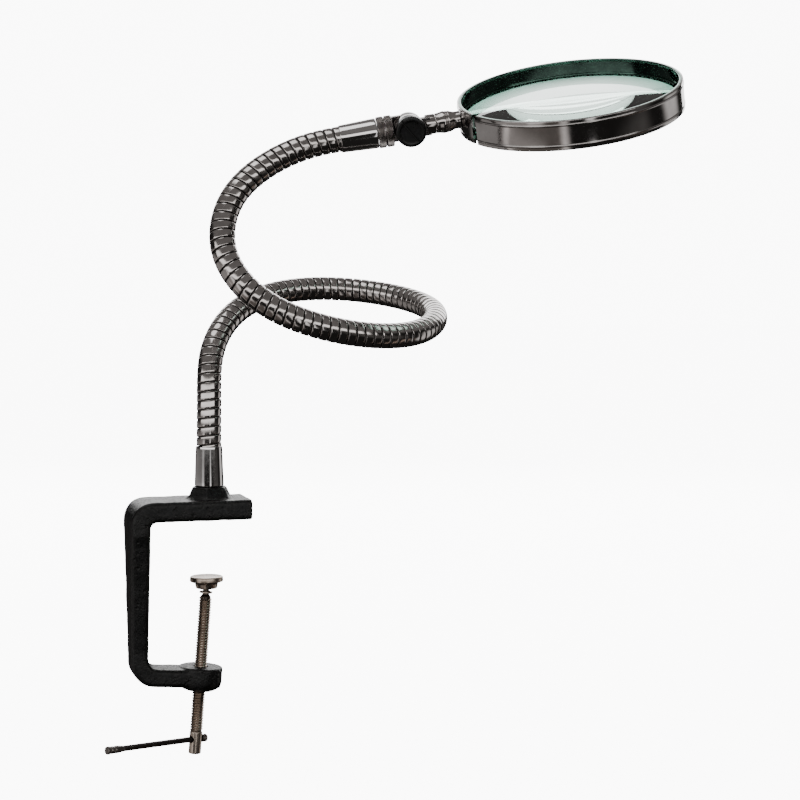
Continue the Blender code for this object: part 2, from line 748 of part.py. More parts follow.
def make_neck(mats):
    neck = NeckLine()
    joints = neck_joints(neck)
    runs = neck.joint_runs()
    slopes = [math.tan(max(-j["low"], j["high"]) / 2) + CONE_MARGIN for j in joints]
    starts = [-NECK_TENON] + list(runs)
    ends = list(runs) + [neck.length + NECK_TENON]
    slope_starts = [0.0] + slopes
    slope_ends = slopes + [0.0]
    last = len(starts) - 1
    for i, (start, end) in enumerate(zip(starts, ends)):
        first_link = i == 0
        final_link = i == last
        bm = neck_link(neck, start, end, slope_starts[i], slope_ends[i], first_link, final_link)
        origin = Vector(neck.at(start)[0])
        bmesh.ops.translate(bm, vec=-origin, verts=bm.verts)
        name = f"neck_link_{i + 1:02d}"
        add_object(name, bm, mats["nickel"], Matrix.Translation(origin))


# ---------------------------------------------------------------- head joint


def eye_shape(sign):
    """A flat round eye with its tongue: sign +1 on the knob's side, -1 behind."""
    inner, outer = sorted((sign * EYE_INNER_FACE, sign * EYE_OUTER_FACE))
    disc = cylinder(EYE_RADIUS, inner, outer, 32)
    turn = Matrix.Rotation(-math.pi / 2, 4, "X")
    bmesh.ops.transform(disc, matrix=turn, verts=disc.verts)
    return disc


def make_swivel_collar(mats):
    frame = head_frame()
    low = UPPER_FERRULE_LENGTH + GAP - PIVOT_DISTANCE
    high = -EYE_CLEARANCE
    bore = SPIGOT_RADIUS + GAP
    bore_end = low + SPIGOT_LENGTH + GAP
    band = COLLAR_BAND
    profile = [
        (0, bore_end),
        (bore, bore_end),
        (bore, low),
        (COLLAR_RADIUS - 0.0004, low),
        (COLLAR_RADIUS, low + 0.0004),
        (COLLAR_RADIUS, low + band),
        (COLLAR_GROOVE_RADIUS, low + band + 0.0003),
        (COLLAR_GROOVE_RADIUS, high - band - 0.0003),
        (COLLAR_RADIUS, high - band),
        (COLLAR_RADIUS, high - 0.0005),
        (COLLAR_RADIUS - 0.0005, high),
        (0, high),
    ]
    body = turned(profile, 28)
    wide = COLLAR_TONGUE_WIDTH / 2
    foot = high - TONGUE_ROOT
    tongue = block((-wide, -EYE_OUTER_FACE, foot), (wide, -EYE_INNER_FACE, -TONGUE_REACH))
    tongue = as_guide(add_object("guide_collar_tongue", tongue, mats["nickel"], frame))
    eye = as_guide(add_object("guide_collar_eye", eye_shape(-1), mats["nickel"], frame))
    hole = cylinder(PIN_HOLE_RADIUS, -0.012, 0.012)
    bmesh.ops.transform(hole, matrix=Matrix.Rotation(-math.pi / 2, 4, "X"), verts=hole.verts)
    hole = as_guide(add_object("guide_pin_hole", hole, mats["nickel"], frame))
    steps = (("UNION", tongue), ("UNION", eye), ("DIFFERENCE", hole))
    add_object("swivel_collar", body, mats["nickel"], frame, steps)
    return hole


def make_stem(mats, hole):
    frame = head_frame()
    shaft = [
        (0, EYE_CLEARANCE),
        (STEM_RADIUS - 0.0003, EYE_CLEARANCE),
        (STEM_RADIUS, EYE_CLEARANCE + 0.0003),
        (STEM_RADIUS, STEM_END),
        (0, STEM_END),
    ]
    wide = STEM_TONGUE_WIDTH / 2
    foot = EYE_CLEARANCE + TONGUE_ROOT
    tongue = block((-wide, EYE_INNER_FACE, TONGUE_REACH), (wide, EYE_OUTER_FACE, foot))
    tongue = as_guide(add_object("guide_stem_tongue", tongue, mats["nickel"], frame))
    eye = as_guide(add_object("guide_stem_eye", eye_shape(1), mats["nickel"], frame))
    steps = (("UNION", tongue), ("UNION", eye), ("DIFFERENCE", hole))
    add_object("lens_stem", turned(shaft, 28), mats["nickel"], frame, steps)
    start = STEM_END + GAP
    end = RIM_CENTRE - RIM_RADIUS - GAP - 0.0002
    bulb = NECK_BULB_RADIUS
    neck = [
        (0, start),
        (STEM_RADIUS, start),
        (STEM_RADIUS, start + 0.0012),
        (bulb, start + 0.0034),
        (bulb, start + 0.0044),
        (bulb - 0.0004, start + 0.0047),
        (bulb, start + 0.0050),
        (bulb - 0.0004, start + 0.0056),
        (bulb - 0.0002, start + 0.0062),
        (0.0038, end - 0.0020),
        (0.0040, end),
        (0, end),
    ]
    add_object("turned_neck", turned(neck, 28), mats["nickel"], frame)


def make_tilt_screw(mats):
    """Friction washer, knob washer, threaded pin and slotted knob, along the knob axis."""
    normal, knob, arm = arm_axes()
    place = frame_matrix(tilt_pivot(), arm, normal, knob)
    half = EYE_INNER_FACE - GAP
    inner = PIN_HOLE_RADIUS
    washer = [(inner, -half), (0.0066, -half), (0.0066, half), (inner, half)]
    add_object("friction_washer", turned(washer, 28, closed=True), mats["steel"], place)
    low = EYE_OUTER_FACE + GAP
    high = low + WASHER_THICKNESS
    washer = [(inner, low), (0.0050, low), (0.0050, high), (inner, high)]
    add_object("knob_washer", turned(washer, 28, closed=True), mats["steel"], place)
    knob_low = high + GAP
    knob_high = knob_low + KNOB_THICKNESS
    pin_low = -EYE_OUTER_FACE - 0.0008
    pin_high = knob_high - 0.0024
    pin = [
        (0, pin_low),
        (PIN_RADIUS - 0.0004, pin_low),
        (PIN_RADIUS, pin_low + 0.0004),
        (PIN_RADIUS, pin_high),
        (0, pin_high),
    ]
    add_object("tilt_pin", turned(pin, 20), mats["steel"], place)
    body = [
        (0, pin_high + GAP),
        (PIN_RADIUS + GAP, pin_high + GAP),
        (PIN_RADIUS + GAP, knob_low),
        (KNOB_RADIUS - 0.0005, knob_low),
        (KNOB_RADIUS, knob_low + 0.0005),
        (KNOB_RADIUS, knob_high - 0.0010),
        (KNOB_RADIUS - 0.0010, knob_high - 0.0001),
        (0, knob_high),
    ]
    knob_body = turned(body, 32)
    half_slot = KNOB_SLOT_WIDTH / 2
    slot = block((-0.01, -half_slot, knob_high - KNOB_SLOT_DEPTH), (0.01, half_slot, knob_high + 0.001))
    turn = place @ Matrix.Rotation(-KNOB_SLOT_TURN, 4, "Z")
    slot = as_guide(add_object("guide_slot", slot, mats["plastic"], turn))
    add_object("tilt_knob", knob_body, mats["plastic"], place, (("DIFFERENCE", slot),))


# ---------------------------------------------------------------- rim and lens


def make_rim(mats):
    """The split band, with a seat turned inward near its lower edge."""
    outside = RIM_RADIUS
    inside = RIM_RADIUS - RIM_WALL
    seat = RIM_RADIUS - RIM_SEAT_REACH
    top = RIM_HEIGHT
    profile = [
        (inside, 0.0),
        (outside - 0.0003, 0.0),
        (outside, 0.0003),
        (outside, top - 0.0003),
        (outside - 0.0003, top),
        (inside, top),
        (inside, RIM_SEAT_DEPTH),
        (seat, RIM_SEAT_DEPTH),
        (seat, RIM_SEAT_DEPTH - 0.0012),
        (inside, RIM_SEAT_DEPTH - 0.0018),
    ]
    slit = SPLIT_WIDTH / RIM_RADIUS
    # the neck meets the rim at local -X
    band = split_ring(profile, 61, slit, math.pi + SPLIT_TURN)
    add_object("rim_band", band, mats["chrome"], lens_frame())


def lens_surface(edge_height, sag, rings):
    """Heights of a spherical cap from the axis out to the rim."""
    radius = (LENS_RADIUS**2 + sag**2) / (2 * sag)
    points = []
    for r in np.linspace(0.0, LENS_RADIUS, rings + 1):
        points.append((r, edge_height + sag - radius + math.sqrt(radius**2 - r**2)))
    return points


def make_lens(mats):
    edge_low = RIM_SEAT_DEPTH + GAP
    edge_high = edge_low + LENS_EDGE
    upper = lens_surface(edge_high, LENS_SAG, 6)
    lower = [(r, edge_low + edge_high - z) for r, z in upper]
    profile = lower + upper[::-1]
    add_object("lens", turned(profile, 48), mats["glass"], lens_frame())
    low = edge_high + 0.0005
    high = low + SNAP_RING_WIDTH
    outer = RIM_RADIUS - RIM_WALL - GAP
    inner = outer - SNAP_RING_WIDTH
    ring = [(inner, low), (outer, low), (outer, high), (inner, high)]
    snap = split_ring(ring, 49, math.radians(6), 0.0)
    add_object("lens_snap_ring", snap, mats["steel"], lens_frame())


def build():
    clear_scene()
    mats = materials()
    make_clamp_frame(mats)
    make_clamp_screw(mats)
    make_pressure_pad(mats)
    make_tommy_bar(mats)
    make_ferrules(mats)
    make_neck(mats)
    hole = make_swivel_collar(mats)
    make_stem(mats, hole)
    make_tilt_screw(mats)
    make_rim(mats)
    make_lens(mats)


if __name__ == "__main__":
    build()
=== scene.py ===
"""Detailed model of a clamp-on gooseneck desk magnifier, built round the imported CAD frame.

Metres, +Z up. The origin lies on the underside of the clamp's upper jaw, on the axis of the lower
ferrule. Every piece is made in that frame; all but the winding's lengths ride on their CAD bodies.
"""

import json
import math

import bmesh
import bpy
import numpy as np
from mathutils import Matrix, Vector, noise


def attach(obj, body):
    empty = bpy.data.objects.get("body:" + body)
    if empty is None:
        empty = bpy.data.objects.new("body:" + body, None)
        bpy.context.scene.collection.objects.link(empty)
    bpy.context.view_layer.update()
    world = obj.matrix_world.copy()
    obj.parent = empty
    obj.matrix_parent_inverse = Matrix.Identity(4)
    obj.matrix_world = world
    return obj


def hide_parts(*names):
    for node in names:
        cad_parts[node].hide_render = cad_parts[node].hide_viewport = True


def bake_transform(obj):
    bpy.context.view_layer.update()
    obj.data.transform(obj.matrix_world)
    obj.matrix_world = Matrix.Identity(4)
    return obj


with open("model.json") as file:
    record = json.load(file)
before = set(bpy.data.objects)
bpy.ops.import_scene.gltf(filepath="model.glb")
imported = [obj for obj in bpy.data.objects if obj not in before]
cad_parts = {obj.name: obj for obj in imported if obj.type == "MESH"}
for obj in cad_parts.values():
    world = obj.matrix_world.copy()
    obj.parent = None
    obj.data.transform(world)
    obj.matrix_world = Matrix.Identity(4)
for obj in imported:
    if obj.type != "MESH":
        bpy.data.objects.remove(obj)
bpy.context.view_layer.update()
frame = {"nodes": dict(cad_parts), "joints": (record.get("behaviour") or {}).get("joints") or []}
JOINTS = {joint["name"]: joint for joint in frame["joints"]}

# ---------------------------------------------------------------- sizes

TAU = 2 * math.pi
GAP = 0.0003

# Clamp
JAW_THICKNESS = 0.0095
JAW_REACH = 0.018
JAW_WIDTH = 0.030
THROAT = 0.0703
LOWER_ARM_THICKNESS = 0.0085
LOWER_ARM_WIDTH = 0.0165
LOWER_ARM_DROOP = math.radians(4.4)
LOWER_ARM_STATIONS = (0.006, 0.012, 0.018, 0.024, 0.030)
SPINE_INNER_X = -0.030
SPINE_THICKNESS = 0.009
SPINE_TAPER = 0.001
SPINE_LEAN = 0.0006
TOP_INNER_RADIUS = 0.003
TOP_OUTER_RADIUS = 0.010
FOOT_INNER_RADIUS = 0.005
FOOT_OUTER_RADIUS = 0.0115
CASTING_EDGE = 0.0019
SEAT_TOP_Z = 0.0150
SEAT_FOOT_RADIUS = 0.0122
SEAT_TOP_RADIUS = 0.0088
SEAT_HEADING = math.radians(-76)
BOSS_RADIUS = 0.0105
BOSS_DEPTH = 0.0120
CASTING_VOXEL = 0.00055
TABLE_THICKNESS = 0.028

# Screw, pad and bar
BALL_DEPTH = 0.0034
BALL_RADIUS = 0.0022
PAD_RADIUS = 0.008
PAD_THICKNESS = 0.0058
RING_INNER_RADIUS = 0.0019
RING_OUTER_RADIUS = 0.0031
RING_LOW = -0.0047
RING_HIGH = -0.0039
SCREW_LENGTH = 0.0821
SCREW_PLAIN_LENGTH = 0.0105
SCREW_CREST = 0.0031
SCREW_CORE = 0.00252
SCREW_BORE = 0.0034
SCREW_SHOULDER = -0.0066
THREAD_PITCH = 0.00127
THREAD_STEPS_A_TURN = 30
THREAD_HALF_THICKNESS = 0.0006
CROSS_HOLE_HEIGHT = 0.0070
BAR_RADIUS = 0.00135
BAR_HOLE_RADIUS = 0.00175
BAR_LONG_END = 0.0520
BAR_SHORT_END = 0.0062
GRIP_LENGTH = 0.0095
GRIP_RADIUS = 0.0019
STOP_LENGTH = 0.0026

# Neck and ferrules
FERRULE_LENGTH = 0.0188
UPPER_FERRULE_LENGTH = 0.0170
FERRULE_WIDE_RADIUS = 0.0069
FERRULE_NARROW_RADIUS = 0.0063
FERRULE_BORE_RADIUS = 0.0059
FERRULE_FLOOR_BORE = 0.0033
FERRULE_FLOOR = 0.0046
LOWER_FERRULE_Z = SEAT_TOP_Z + GAP
NECK_RADIUS = 0.00585
NECK_PITCH = 0.0041
INNER_WIRE_RADIUS = 0.0052
STRIP_HALF_THICKNESS = 0.00075
STRIP_FILL = 0.90
STRIP_STEPS_A_TURN = 56
WIRE_HALF_THICKNESS = 0.0009
WIRE_STEPS_A_TURN = 24
WINDING_LEAD = 0.012
NECK_HIDDEN = 0.0012
JOINT_COUNT = 18
FIXED_TAIL = 0.008
NECK_ROUTE = (
    (0.0, 0.0, 0.0341),
    (0.0004, 0.0012, 0.055),
    (0.0028, 0.0065, 0.0775),
    (0.0155, 0.0185, 0.0960),
    (0.0430, 0.0325, 0.1072),
    (0.0700, 0.0345, 0.1089),
    (0.0930, 0.0230, 0.1062),
    (0.1075, -0.0125, 0.0977),
    (0.0885, -0.0460, 0.0884),
    (0.0640, -0.0572, 0.0877),
    (0.0360, -0.0600, 0.0930),
    (0.0110, -0.0561, 0.1056),
    (-0.0015, -0.0480, 0.1260),
    (0.0040, -0.0408, 0.1495),
    (0.0200, -0.0383, 0.1645),
    (0.0405, -0.0395, 0.1740),
    (0.0537, -0.0422, 0.1770),
)

# Head
PIVOT_DISTANCE = 0.0321
COLLAR_RADIUS = 0.0069
COLLAR_GROOVE_RADIUS = 0.0060
COLLAR_BAND = 0.0034
KNURL_COUNT = 44
SPIGOT_RADIUS = 0.0036
SPIGOT_LENGTH = 0.0055
EYE_RADIUS = 0.0066
EYE_CLEARANCE = 0.0077
EYE_INNER_FACE = 0.0006
EYE_OUTER_FACE = 0.0035
TONGUE_ROOT = 0.002
TONGUE_REACH = 0.003
COLLAR_TONGUE_WIDTH = 0.0116
STEM_TONGUE_WIDTH = 0.0084
PIN_HOLE_RADIUS = 0.0023
STEM_RADIUS = 0.0046
STEM_END = 0.0121
NECK_BULB_RADIUS = 0.0051
WASHER_RADIUS = 0.0050
WASHER_THICKNESS = 0.0004
KNOB_RADIUS = 0.0071
KNOB_THICKNESS = 0.0043
KNOB_RECESS_RADIUS = 0.0023
KNOB_RECESS_ROOF = 0.0021
KNOB_DISH = 0.0003
KNOB_SLOT_WIDTH = 0.0009
KNOB_SLOT_DEPTH = 0.0011
KNOB_SLOT_TURN = math.radians(58)

# Rim and lens
RIM_RADIUS = 0.0520
RIM_HEIGHT = 0.0135
RIM_WALL = 0.0013
RIM_BEAD = 0.0021
RIM_SEAT_DEPTH = 0.0028
RIM_SEAT_REACH = 0.0028
RIM_BEAD_HEIGHT = 0.00022
RIM_LIP = 0.0006
RIM_CENTRE = 0.0757
RIM_DROP = 0.0008
SPLIT_WIDTH = 0.0034
SPLIT_TURN = math.radians(21.0)
LENS_RADIUS = 0.0502
LENS_EDGE = 0.0024
LENS_SAG = 0.0050
SNAP_RING_WIRE = 0.0008
SNAP_RING_GAP = math.radians(6)

# ---------------------------------------------------------------- places taken from the CAD joints


def axis_frame(origin, direction, side=(0.0, 1.0, 0.0)):
    """A placement whose local Z runs along direction and local Y leans to side."""
    z = Vector(direction).normalized()
    x = Vector(side).cross(z).normalized()
    return frame_matrix(origin, x, z.cross(x), z)


def frame_matrix(origin, x_axis, y_axis, z_axis):
    """A placement from an origin and three axes at right angles."""
    turn = Matrix((x_axis, y_axis, z_axis)).transposed()
    return Matrix.Translation(origin) @ turn.to_4x4()


PIVOT = Vector(JOINTS["head_swivel"]["pos_m"])
ARM = Vector(JOINTS["head_swivel"]["axis"]).normalized()
KNOB = Vector(JOINTS["lens_tilt"]["axis"]).normalized()
LENS_NORMAL = KNOB.cross(ARM).normalized()
SCREW_UP = Vector(JOINTS["clamp_screw_turn"]["axis"]).normalized()
BALL = Vector(JOINTS["clamp_screw_turn"]["pos_m"])
BAR_DIRECTION = Vector(JOINTS["bar_slide"]["axis"]).normalized()
NECK_MOUTH = PIVOT - PIVOT_DISTANCE * ARM

HEAD_PLACE = frame_matrix(PIVOT, LENS_NORMAL, KNOB, ARM)
KNOB_PLACE = frame_matrix(PIVOT, ARM, LENS_NORMAL, KNOB)
RIM_MIDDLE = PIVOT + RIM_CENTRE * ARM - (RIM_DROP + RIM_HEIGHT / 2) * LENS_NORMAL
LENS_PLACE = frame_matrix(RIM_MIDDLE, ARM, -KNOB, LENS_NORMAL)
SCREW_PLACE = axis_frame(BALL, SCREW_UP)
BAR_CENTRE = BALL - (SCREW_LENGTH - CROSS_HOLE_HEIGHT) * SCREW_UP
BAR_PLACE = axis_frame(BAR_CENTRE, BAR_DIRECTION, SCREW_UP)
LOWER_FERRULE_PLACE = Matrix.Translation((0.0, 0.0, LOWER_FERRULE_Z))
UPPER_FERRULE_PLACE = axis_frame(NECK_MOUTH + UPPER_FERRULE_LENGTH * ARM, -ARM)

# ---------------------------------------------------------------- node helpers


def join(tree, target, value):
    """Feeds a socket from another socket, or sets it to a plain value."""
    if isinstance(value, bpy.types.NodeSocket):
        tree.links.new(value, target)
    else:
        target.default_value = value


def place_node(tree, kind, inputs=(), **settings):
    """Adds a node, sets its properties and feeds its inputs, given by name or number."""
    node = tree.nodes.new(kind)
    for key, value in settings.items():
        setattr(node, key, value)
    for key, value in dict(inputs).items():
        join(tree, node.inputs[key], value)
    return node


# ---------------------------------------------------------------- camera, floor and light


CAMERA_PLACE = (-0.1577, -0.8574, 0.1076)
CAMERA_LENS = 82.35
SENSOR_WIDTH = 36.0
CAMERA_YAW = math.radians(16.4)
CAMERA_PITCH = math.radians(3.4)
OBJECT_MIDDLE = Vector((0.07, -0.03, 0.06))
FLOOR_Z = -0.152
FLOOR_HALF_WIDTH = 12.0
BACKDROP_LEVEL = 10.0
LENS_VIEW_LEVEL = 2.6
FLOOR_LEVEL = 9.6
ROOM_LEVEL = (0.022, 0.021, 0.020)
# bearing (degrees to the right of the camera, seen from the object), half width,
# lowest and highest rise, softness, colour
PANELS = (
    (-84.0, 50.0, -34.0, -2.0, 12.0, (0.42, 0.40, 0.39)),
    (-44.0, 9.0, -30.0, -2.0, 7.0, (0.9, 0.88, 0.87)),
    (17.0, 4.5, -30.0, -1.0, 4.0, (1.7, 1.68, 1.66)),
    (62.0, 20.0, -20.0, -1.0, 16.0, (0.10, 0.095, 0.09)),
    (118.0, 12.0, -30.0, 6.0, 12.0, (1.0, 0.97, 0.95)),
    (0.0, 180.0, 22.0, 90.0, 16.0, (0.22, 0.21, 0.205)),
    (-10.0, 66.0, 2.0, 19.0, 6.0, (2.6, 2.55, 2.5)),
    (-50.0, 36.0, -66.0, -24.0, 18.0, (0.16, 0.14, 0.128)),
    (-12.0, 4.0, -62.0, -26.0, 9.0, (1.1, 1.05, 1.02)),
    (-84.0, 3.0, -62.0, -24.0, 4.0, (0.7, 0.66, 0.63)),
    (93.0, 4.0, -58.0, -24.0, 6.0, (0.55, 0.42, 0.34)),
)


def add_camera():
    """Looks a little down and to the right of straight ahead, level across the picture."""
    data = bpy.data.cameras.new("camera")
    data.sensor_width = SENSOR_WIDTH
    data.lens = CAMERA_LENS
    camera = bpy.data.objects.new("camera", data)
    camera.location = CAMERA_PLACE
    heading = Vector((math.sin(CAMERA_YAW), math.cos(CAMERA_YAW), 0.0)) * math.cos(CAMERA_PITCH)
    heading.z = -math.sin(CAMERA_PITCH)
    camera.rotation_euler = heading.to_track_quat("-Z", "Y").to_euler()
    bpy.context.scene.collection.objects.link(camera)
    bpy.context.scene.camera = camera


def add_floor():
    """A white floor below the clamp screw's lowest place; only the camera sees it."""
    half = FLOOR_HALF_WIDTH
    mesh = bpy.data.meshes.new("floor")
    corners = [(x, y, FLOOR_Z) for x, y in ((-half, -half), (half, -half), (half, half), (-half, half))]
    mesh.from_pydata(corners, [], [(0, 1, 2, 3)])
    mat = bpy.data.materials.new("floor_paint")
    mat.use_nodes = True
    shader = mat.node_tree.nodes["Principled BSDF"]
    shader.inputs["Base Color"].default_value = (0.86, 0.86, 0.86, 1.0)
    shader.inputs["Roughness"].default_value = 0.9
    shader.inputs["Specular IOR Level"].default_value = 0.1
    shader.inputs["Emission Color"].default_value = (1.0, 1.0, 1.0, 1.0)
    shader.inputs["Emission Strength"].default_value = FLOOR_LEVEL
    mesh.materials.append(mat)
    floor = bpy.data.objects.new("floor", mesh)
    bpy.context.scene.collection.objects.link(floor)
    floor.visible_glossy = False
    floor.visible_diffuse = False
    floor.visible_transmission = False


def add_softbox(name, bearing, rise, distance, width, height, power):
    """A soft light aimed at the object; bearing is degrees to the right of the camera, seen from it."""
    azimuth = math.radians(bearing) - CAMERA_YAW - math.pi / 2
    rise = math.radians(rise)
    away = Vector((math.cos(azimuth) * math.cos(rise), math.sin(azimuth) * math.cos(rise), math.sin(rise)))
    data = bpy.data.lights.new(name, "AREA")
    data.shape = "RECTANGLE"
    data.size = width
    data.size_y = height
    data.energy = power
    lamp = bpy.data.objects.new(name, data)
    lamp.location = OBJECT_MIDDLE + away * distance
    lamp.rotation_euler = (-away).to_track_quat("-Z", "Y").to_euler()
    bpy.context.scene.collection.objects.link(lamp)


def add_world():
    """A white backdrop; the reflections see a dark room with soft panels instead."""
    world = bpy.data.worlds.new("studio")
    bpy.context.scene.world = world
    world.use_nodes = True
    tree = world.node_tree
    tree.nodes.clear()
    direction = place_node(tree, "ShaderNodeTexCoord").outputs["Generated"]

    def facing(vector):
        inputs = {0: direction, 1: vector}
        return place_node(tree, "ShaderNodeVectorMath", inputs, operation="DOT_PRODUCT").outputs["Value"]

    def number(operation, *values):
        return place_node(tree, "ShaderNodeMath", dict(enumerate(values)), operation=operation).outputs[0]

    sine, cosine = math.sin(CAMERA_YAW), math.cos(CAMERA_YAW)
    right = facing((cosine, -sine, 0.0))
    toward = facing((-sine, -cosine, 0.0))
    bearing = number("DEGREES", number("ARCTAN2", right, toward))
    rise = number("DEGREES", number("ARCSINE", facing((0.0, 0.0, 1.0))))

    def within(angle, middle, half, soft):
        """1 inside the band of angles, falling softly to 0 outside it."""
        off = number("ABSOLUTE", number("WRAP", number("SUBTRACT", angle, middle), 180.0, -180.0))
        inputs = {"Value": off, 1: half - soft / 2, 2: half + soft / 2, 3: 1.0, 4: 0.0}
        return place_node(
            tree, "ShaderNodeMapRange", inputs, interpolation_type="SMOOTHSTEP"
        ).outputs["Result"]

    total = ROOM_LEVEL
    for middle, half, low, high, soft, colour in PANELS:
        mask = number(
            "MULTIPLY",
            within(bearing, middle, half, soft),
            within(rise, (low + high) / 2, (high - low) / 2, soft),
        )
        inputs = {0: mask, 1: colour, 2: total}
        total = place_node(tree, "ShaderNodeVectorMath", inputs, operation="MULTIPLY_ADD").outputs[0]
    room = place_node(tree, "ShaderNodeBackground", {"Color": total})
    path = place_node(tree, "ShaderNodeLightPath").outputs
    level = number(
        "MULTIPLY_ADD", path["Is Camera Ray"], BACKDROP_LEVEL - LENS_VIEW_LEVEL, LENS_VIEW_LEVEL
    )
    backdrop = place_node(tree, "ShaderNodeBackground", {"Color": (1.0, 1.0, 1.0, 1.0), "Strength": level})
    seen = number("MAXIMUM", path["Is Camera Ray"], path["Is Transmission Ray"])
    mix = place_node(tree, "ShaderNodeMixShader", {"Fac": seen, 1: room.outputs[0], 2: backdrop.outputs[0]})
    place_node(tree, "ShaderNodeOutputWorld", {"Surface": mix.outputs[0]})


add_camera()
add_floor()
add_world()
# bearings: negative to the left of the camera; 180 is straight behind the object
add_softbox("top_light", -60, 72, 1.3, 0.8, 0.6, 4)
add_softbox("back_window", 176, 24, 1.7, 2.2, 1.0, 26)

# ---------------------------------------------------------------- shader groups


def open_group(name, inputs, outputs):
    """A new shader group, with the sockets that its inputs come from and its outputs go to."""
    tree = bpy.data.node_groups.new(name, "ShaderNodeTree")
    for label, kind, value in inputs:
        socket = tree.interface.new_socket(label, in_out="INPUT", socket_type="NodeSocket" + kind)
        if value is not None:
            socket.default_value = value
    for label, kind in outputs:
        tree.interface.new_socket(label, in_out="OUTPUT", socket_type="NodeSocket" + kind)
    given = tree.nodes.new("NodeGroupInput").outputs
    result = tree.nodes.new("NodeGroupOutput").inputs
    return tree, given, result


def make_mottle_group():
    """Soft cloudy change between two values, for handled and slightly uneven surfaces."""
    inputs = (
        ("Vector", "Vector", None),
        ("Scale", "Float", 40.0),
        ("Low", "Float", 0.0),
        ("High", "Float", 1.0),
    )
    tree, given, result = open_group("cloudy_mottle", inputs, (("Value", "Float"),))
    cloud = place_node(
        tree,
        "ShaderNodeTexNoise",
        {"Vector": given["Vector"], "Scale": given["Scale"], "Detail": 5.0, "Roughness": 0.6},
    )
    spread = {"Value": cloud.outputs[0], 1: 0.32, 2: 0.68, 3: given["Low"], 4: given["High"]}
    level = place_node(tree, "ShaderNodeMapRange", spread)
    join(tree, result["Value"], level.outputs["Result"])
    return tree


def make_grain_group():
    """Height of a painted sand casting: fine grains over a broad unevenness, with small pits."""
    inputs = (("Vector", "Vector", None), ("Grain", "Float", 1400.0), ("Swell", "Float", 260.0))
    tree, given, result = open_group("cast_grain", inputs, (("Height", "Float"), ("Pits", "Float")))
    grain = place_node(
        tree, "ShaderNodeTexNoise", {"Vector": given["Vector"], "Scale": given["Grain"], "Detail": 4.0}
    )
    swell = place_node(
        tree, "ShaderNodeTexNoise", {"Vector": given["Vector"], "Scale": given["Swell"], "Detail": 3.0}
    )
    cells = place_node(
        tree, "ShaderNodeTexVoronoi", {"Vector": given["Vector"], "Scale": given["Swell"], "Randomness": 1.0}
    )
    pits = place_node(tree, "ShaderNodeMapRange", {"Value": cells.outputs["Distance"], 1: 0.10, 2: 0.24})
    sum_a = place_node(tree, "ShaderNodeMath", {0: grain.outputs[0], 1: swell.outputs[0]}, operation="ADD")
    sum_b = place_node(tree, "ShaderNodeMath", {0: sum_a.outputs[0], 1: pits.outputs[0]}, operation="ADD")
    join(tree, result["Height"], sum_b.outputs[0])
    join(tree, result["Pits"], pits.outputs[0])
    return tree


def make_lathe_group():
    """Fine rings left by turning and polishing, round the local Z axis."""
    inputs = (("Vector", "Vector", None), ("Rings per metre", "Float", 9000.0), ("Softness", "Float", 0.35))
    tree, given, result = open_group("lathe_rings", inputs, (("Height", "Float"), ("Mask", "Float")))
    split = place_node(tree, "ShaderNodeSeparateXYZ", {0: given["Vector"]})
    rings = place_node(
        tree,
        "ShaderNodeTexNoise",
        {"W": split.outputs["Z"], "Scale": given["Rings per metre"], "Detail": 3.0},
        noise_dimensions="1D",
    )
    high = place_node(tree, "ShaderNodeMath", {0: 0.5, 1: given["Softness"]}, operation="ADD")
    low = place_node(tree, "ShaderNodeMath", {0: 0.5, 1: given["Softness"]}, operation="SUBTRACT")
    mask = place_node(
        tree, "ShaderNodeMapRange", {"Value": rings.outputs[0], 1: low.outputs[0], 2: high.outputs[0]}
    )
    join(tree, result["Height"], rings.outputs[0])
    join(tree, result["Mask"], mask.outputs["Result"])
    return tree


def make_wear_group():
    """Scattered small rubbed or chipped spots as a mask from 0 to 1."""
    inputs = (("Vector", "Vector", None), ("Scale", "Float", 500.0), ("Amount", "Float", 0.3))
    tree, given, result = open_group("rubbed_spots", inputs, (("Mask", "Float"),))
    spots = place_node(
        tree,
        "ShaderNodeTexNoise",
        {"Vector": given["Vector"], "Scale": given["Scale"], "Detail": 6.0, "Roughness": 0.7},
    )
    start = place_node(tree, "ShaderNodeMath", {0: 0.78, 1: given["Amount"]}, operation="SUBTRACT")
    stop = place_node(tree, "ShaderNodeMath", {0: start.outputs[0], 1: 0.06}, operation="ADD")
    mask = place_node(
        tree, "ShaderNodeMapRange", {"Value": spots.outputs[0], 1: start.outputs[0], 2: stop.outputs[0]}
    )
    join(tree, result["Mask"], mask.outputs["Result"])
    return tree


MOTTLE = make_mottle_group()
GRAIN = make_grain_group()
LATHE = make_lathe_group()
WEAR = make_wear_group()

# ---------------------------------------------------------------- materials


def plain_colour(value):
    """Adds the alpha to a plain red, green and blue; anything else passes unchanged."""
    return (*value, 1.0) if isinstance(value, tuple) else value


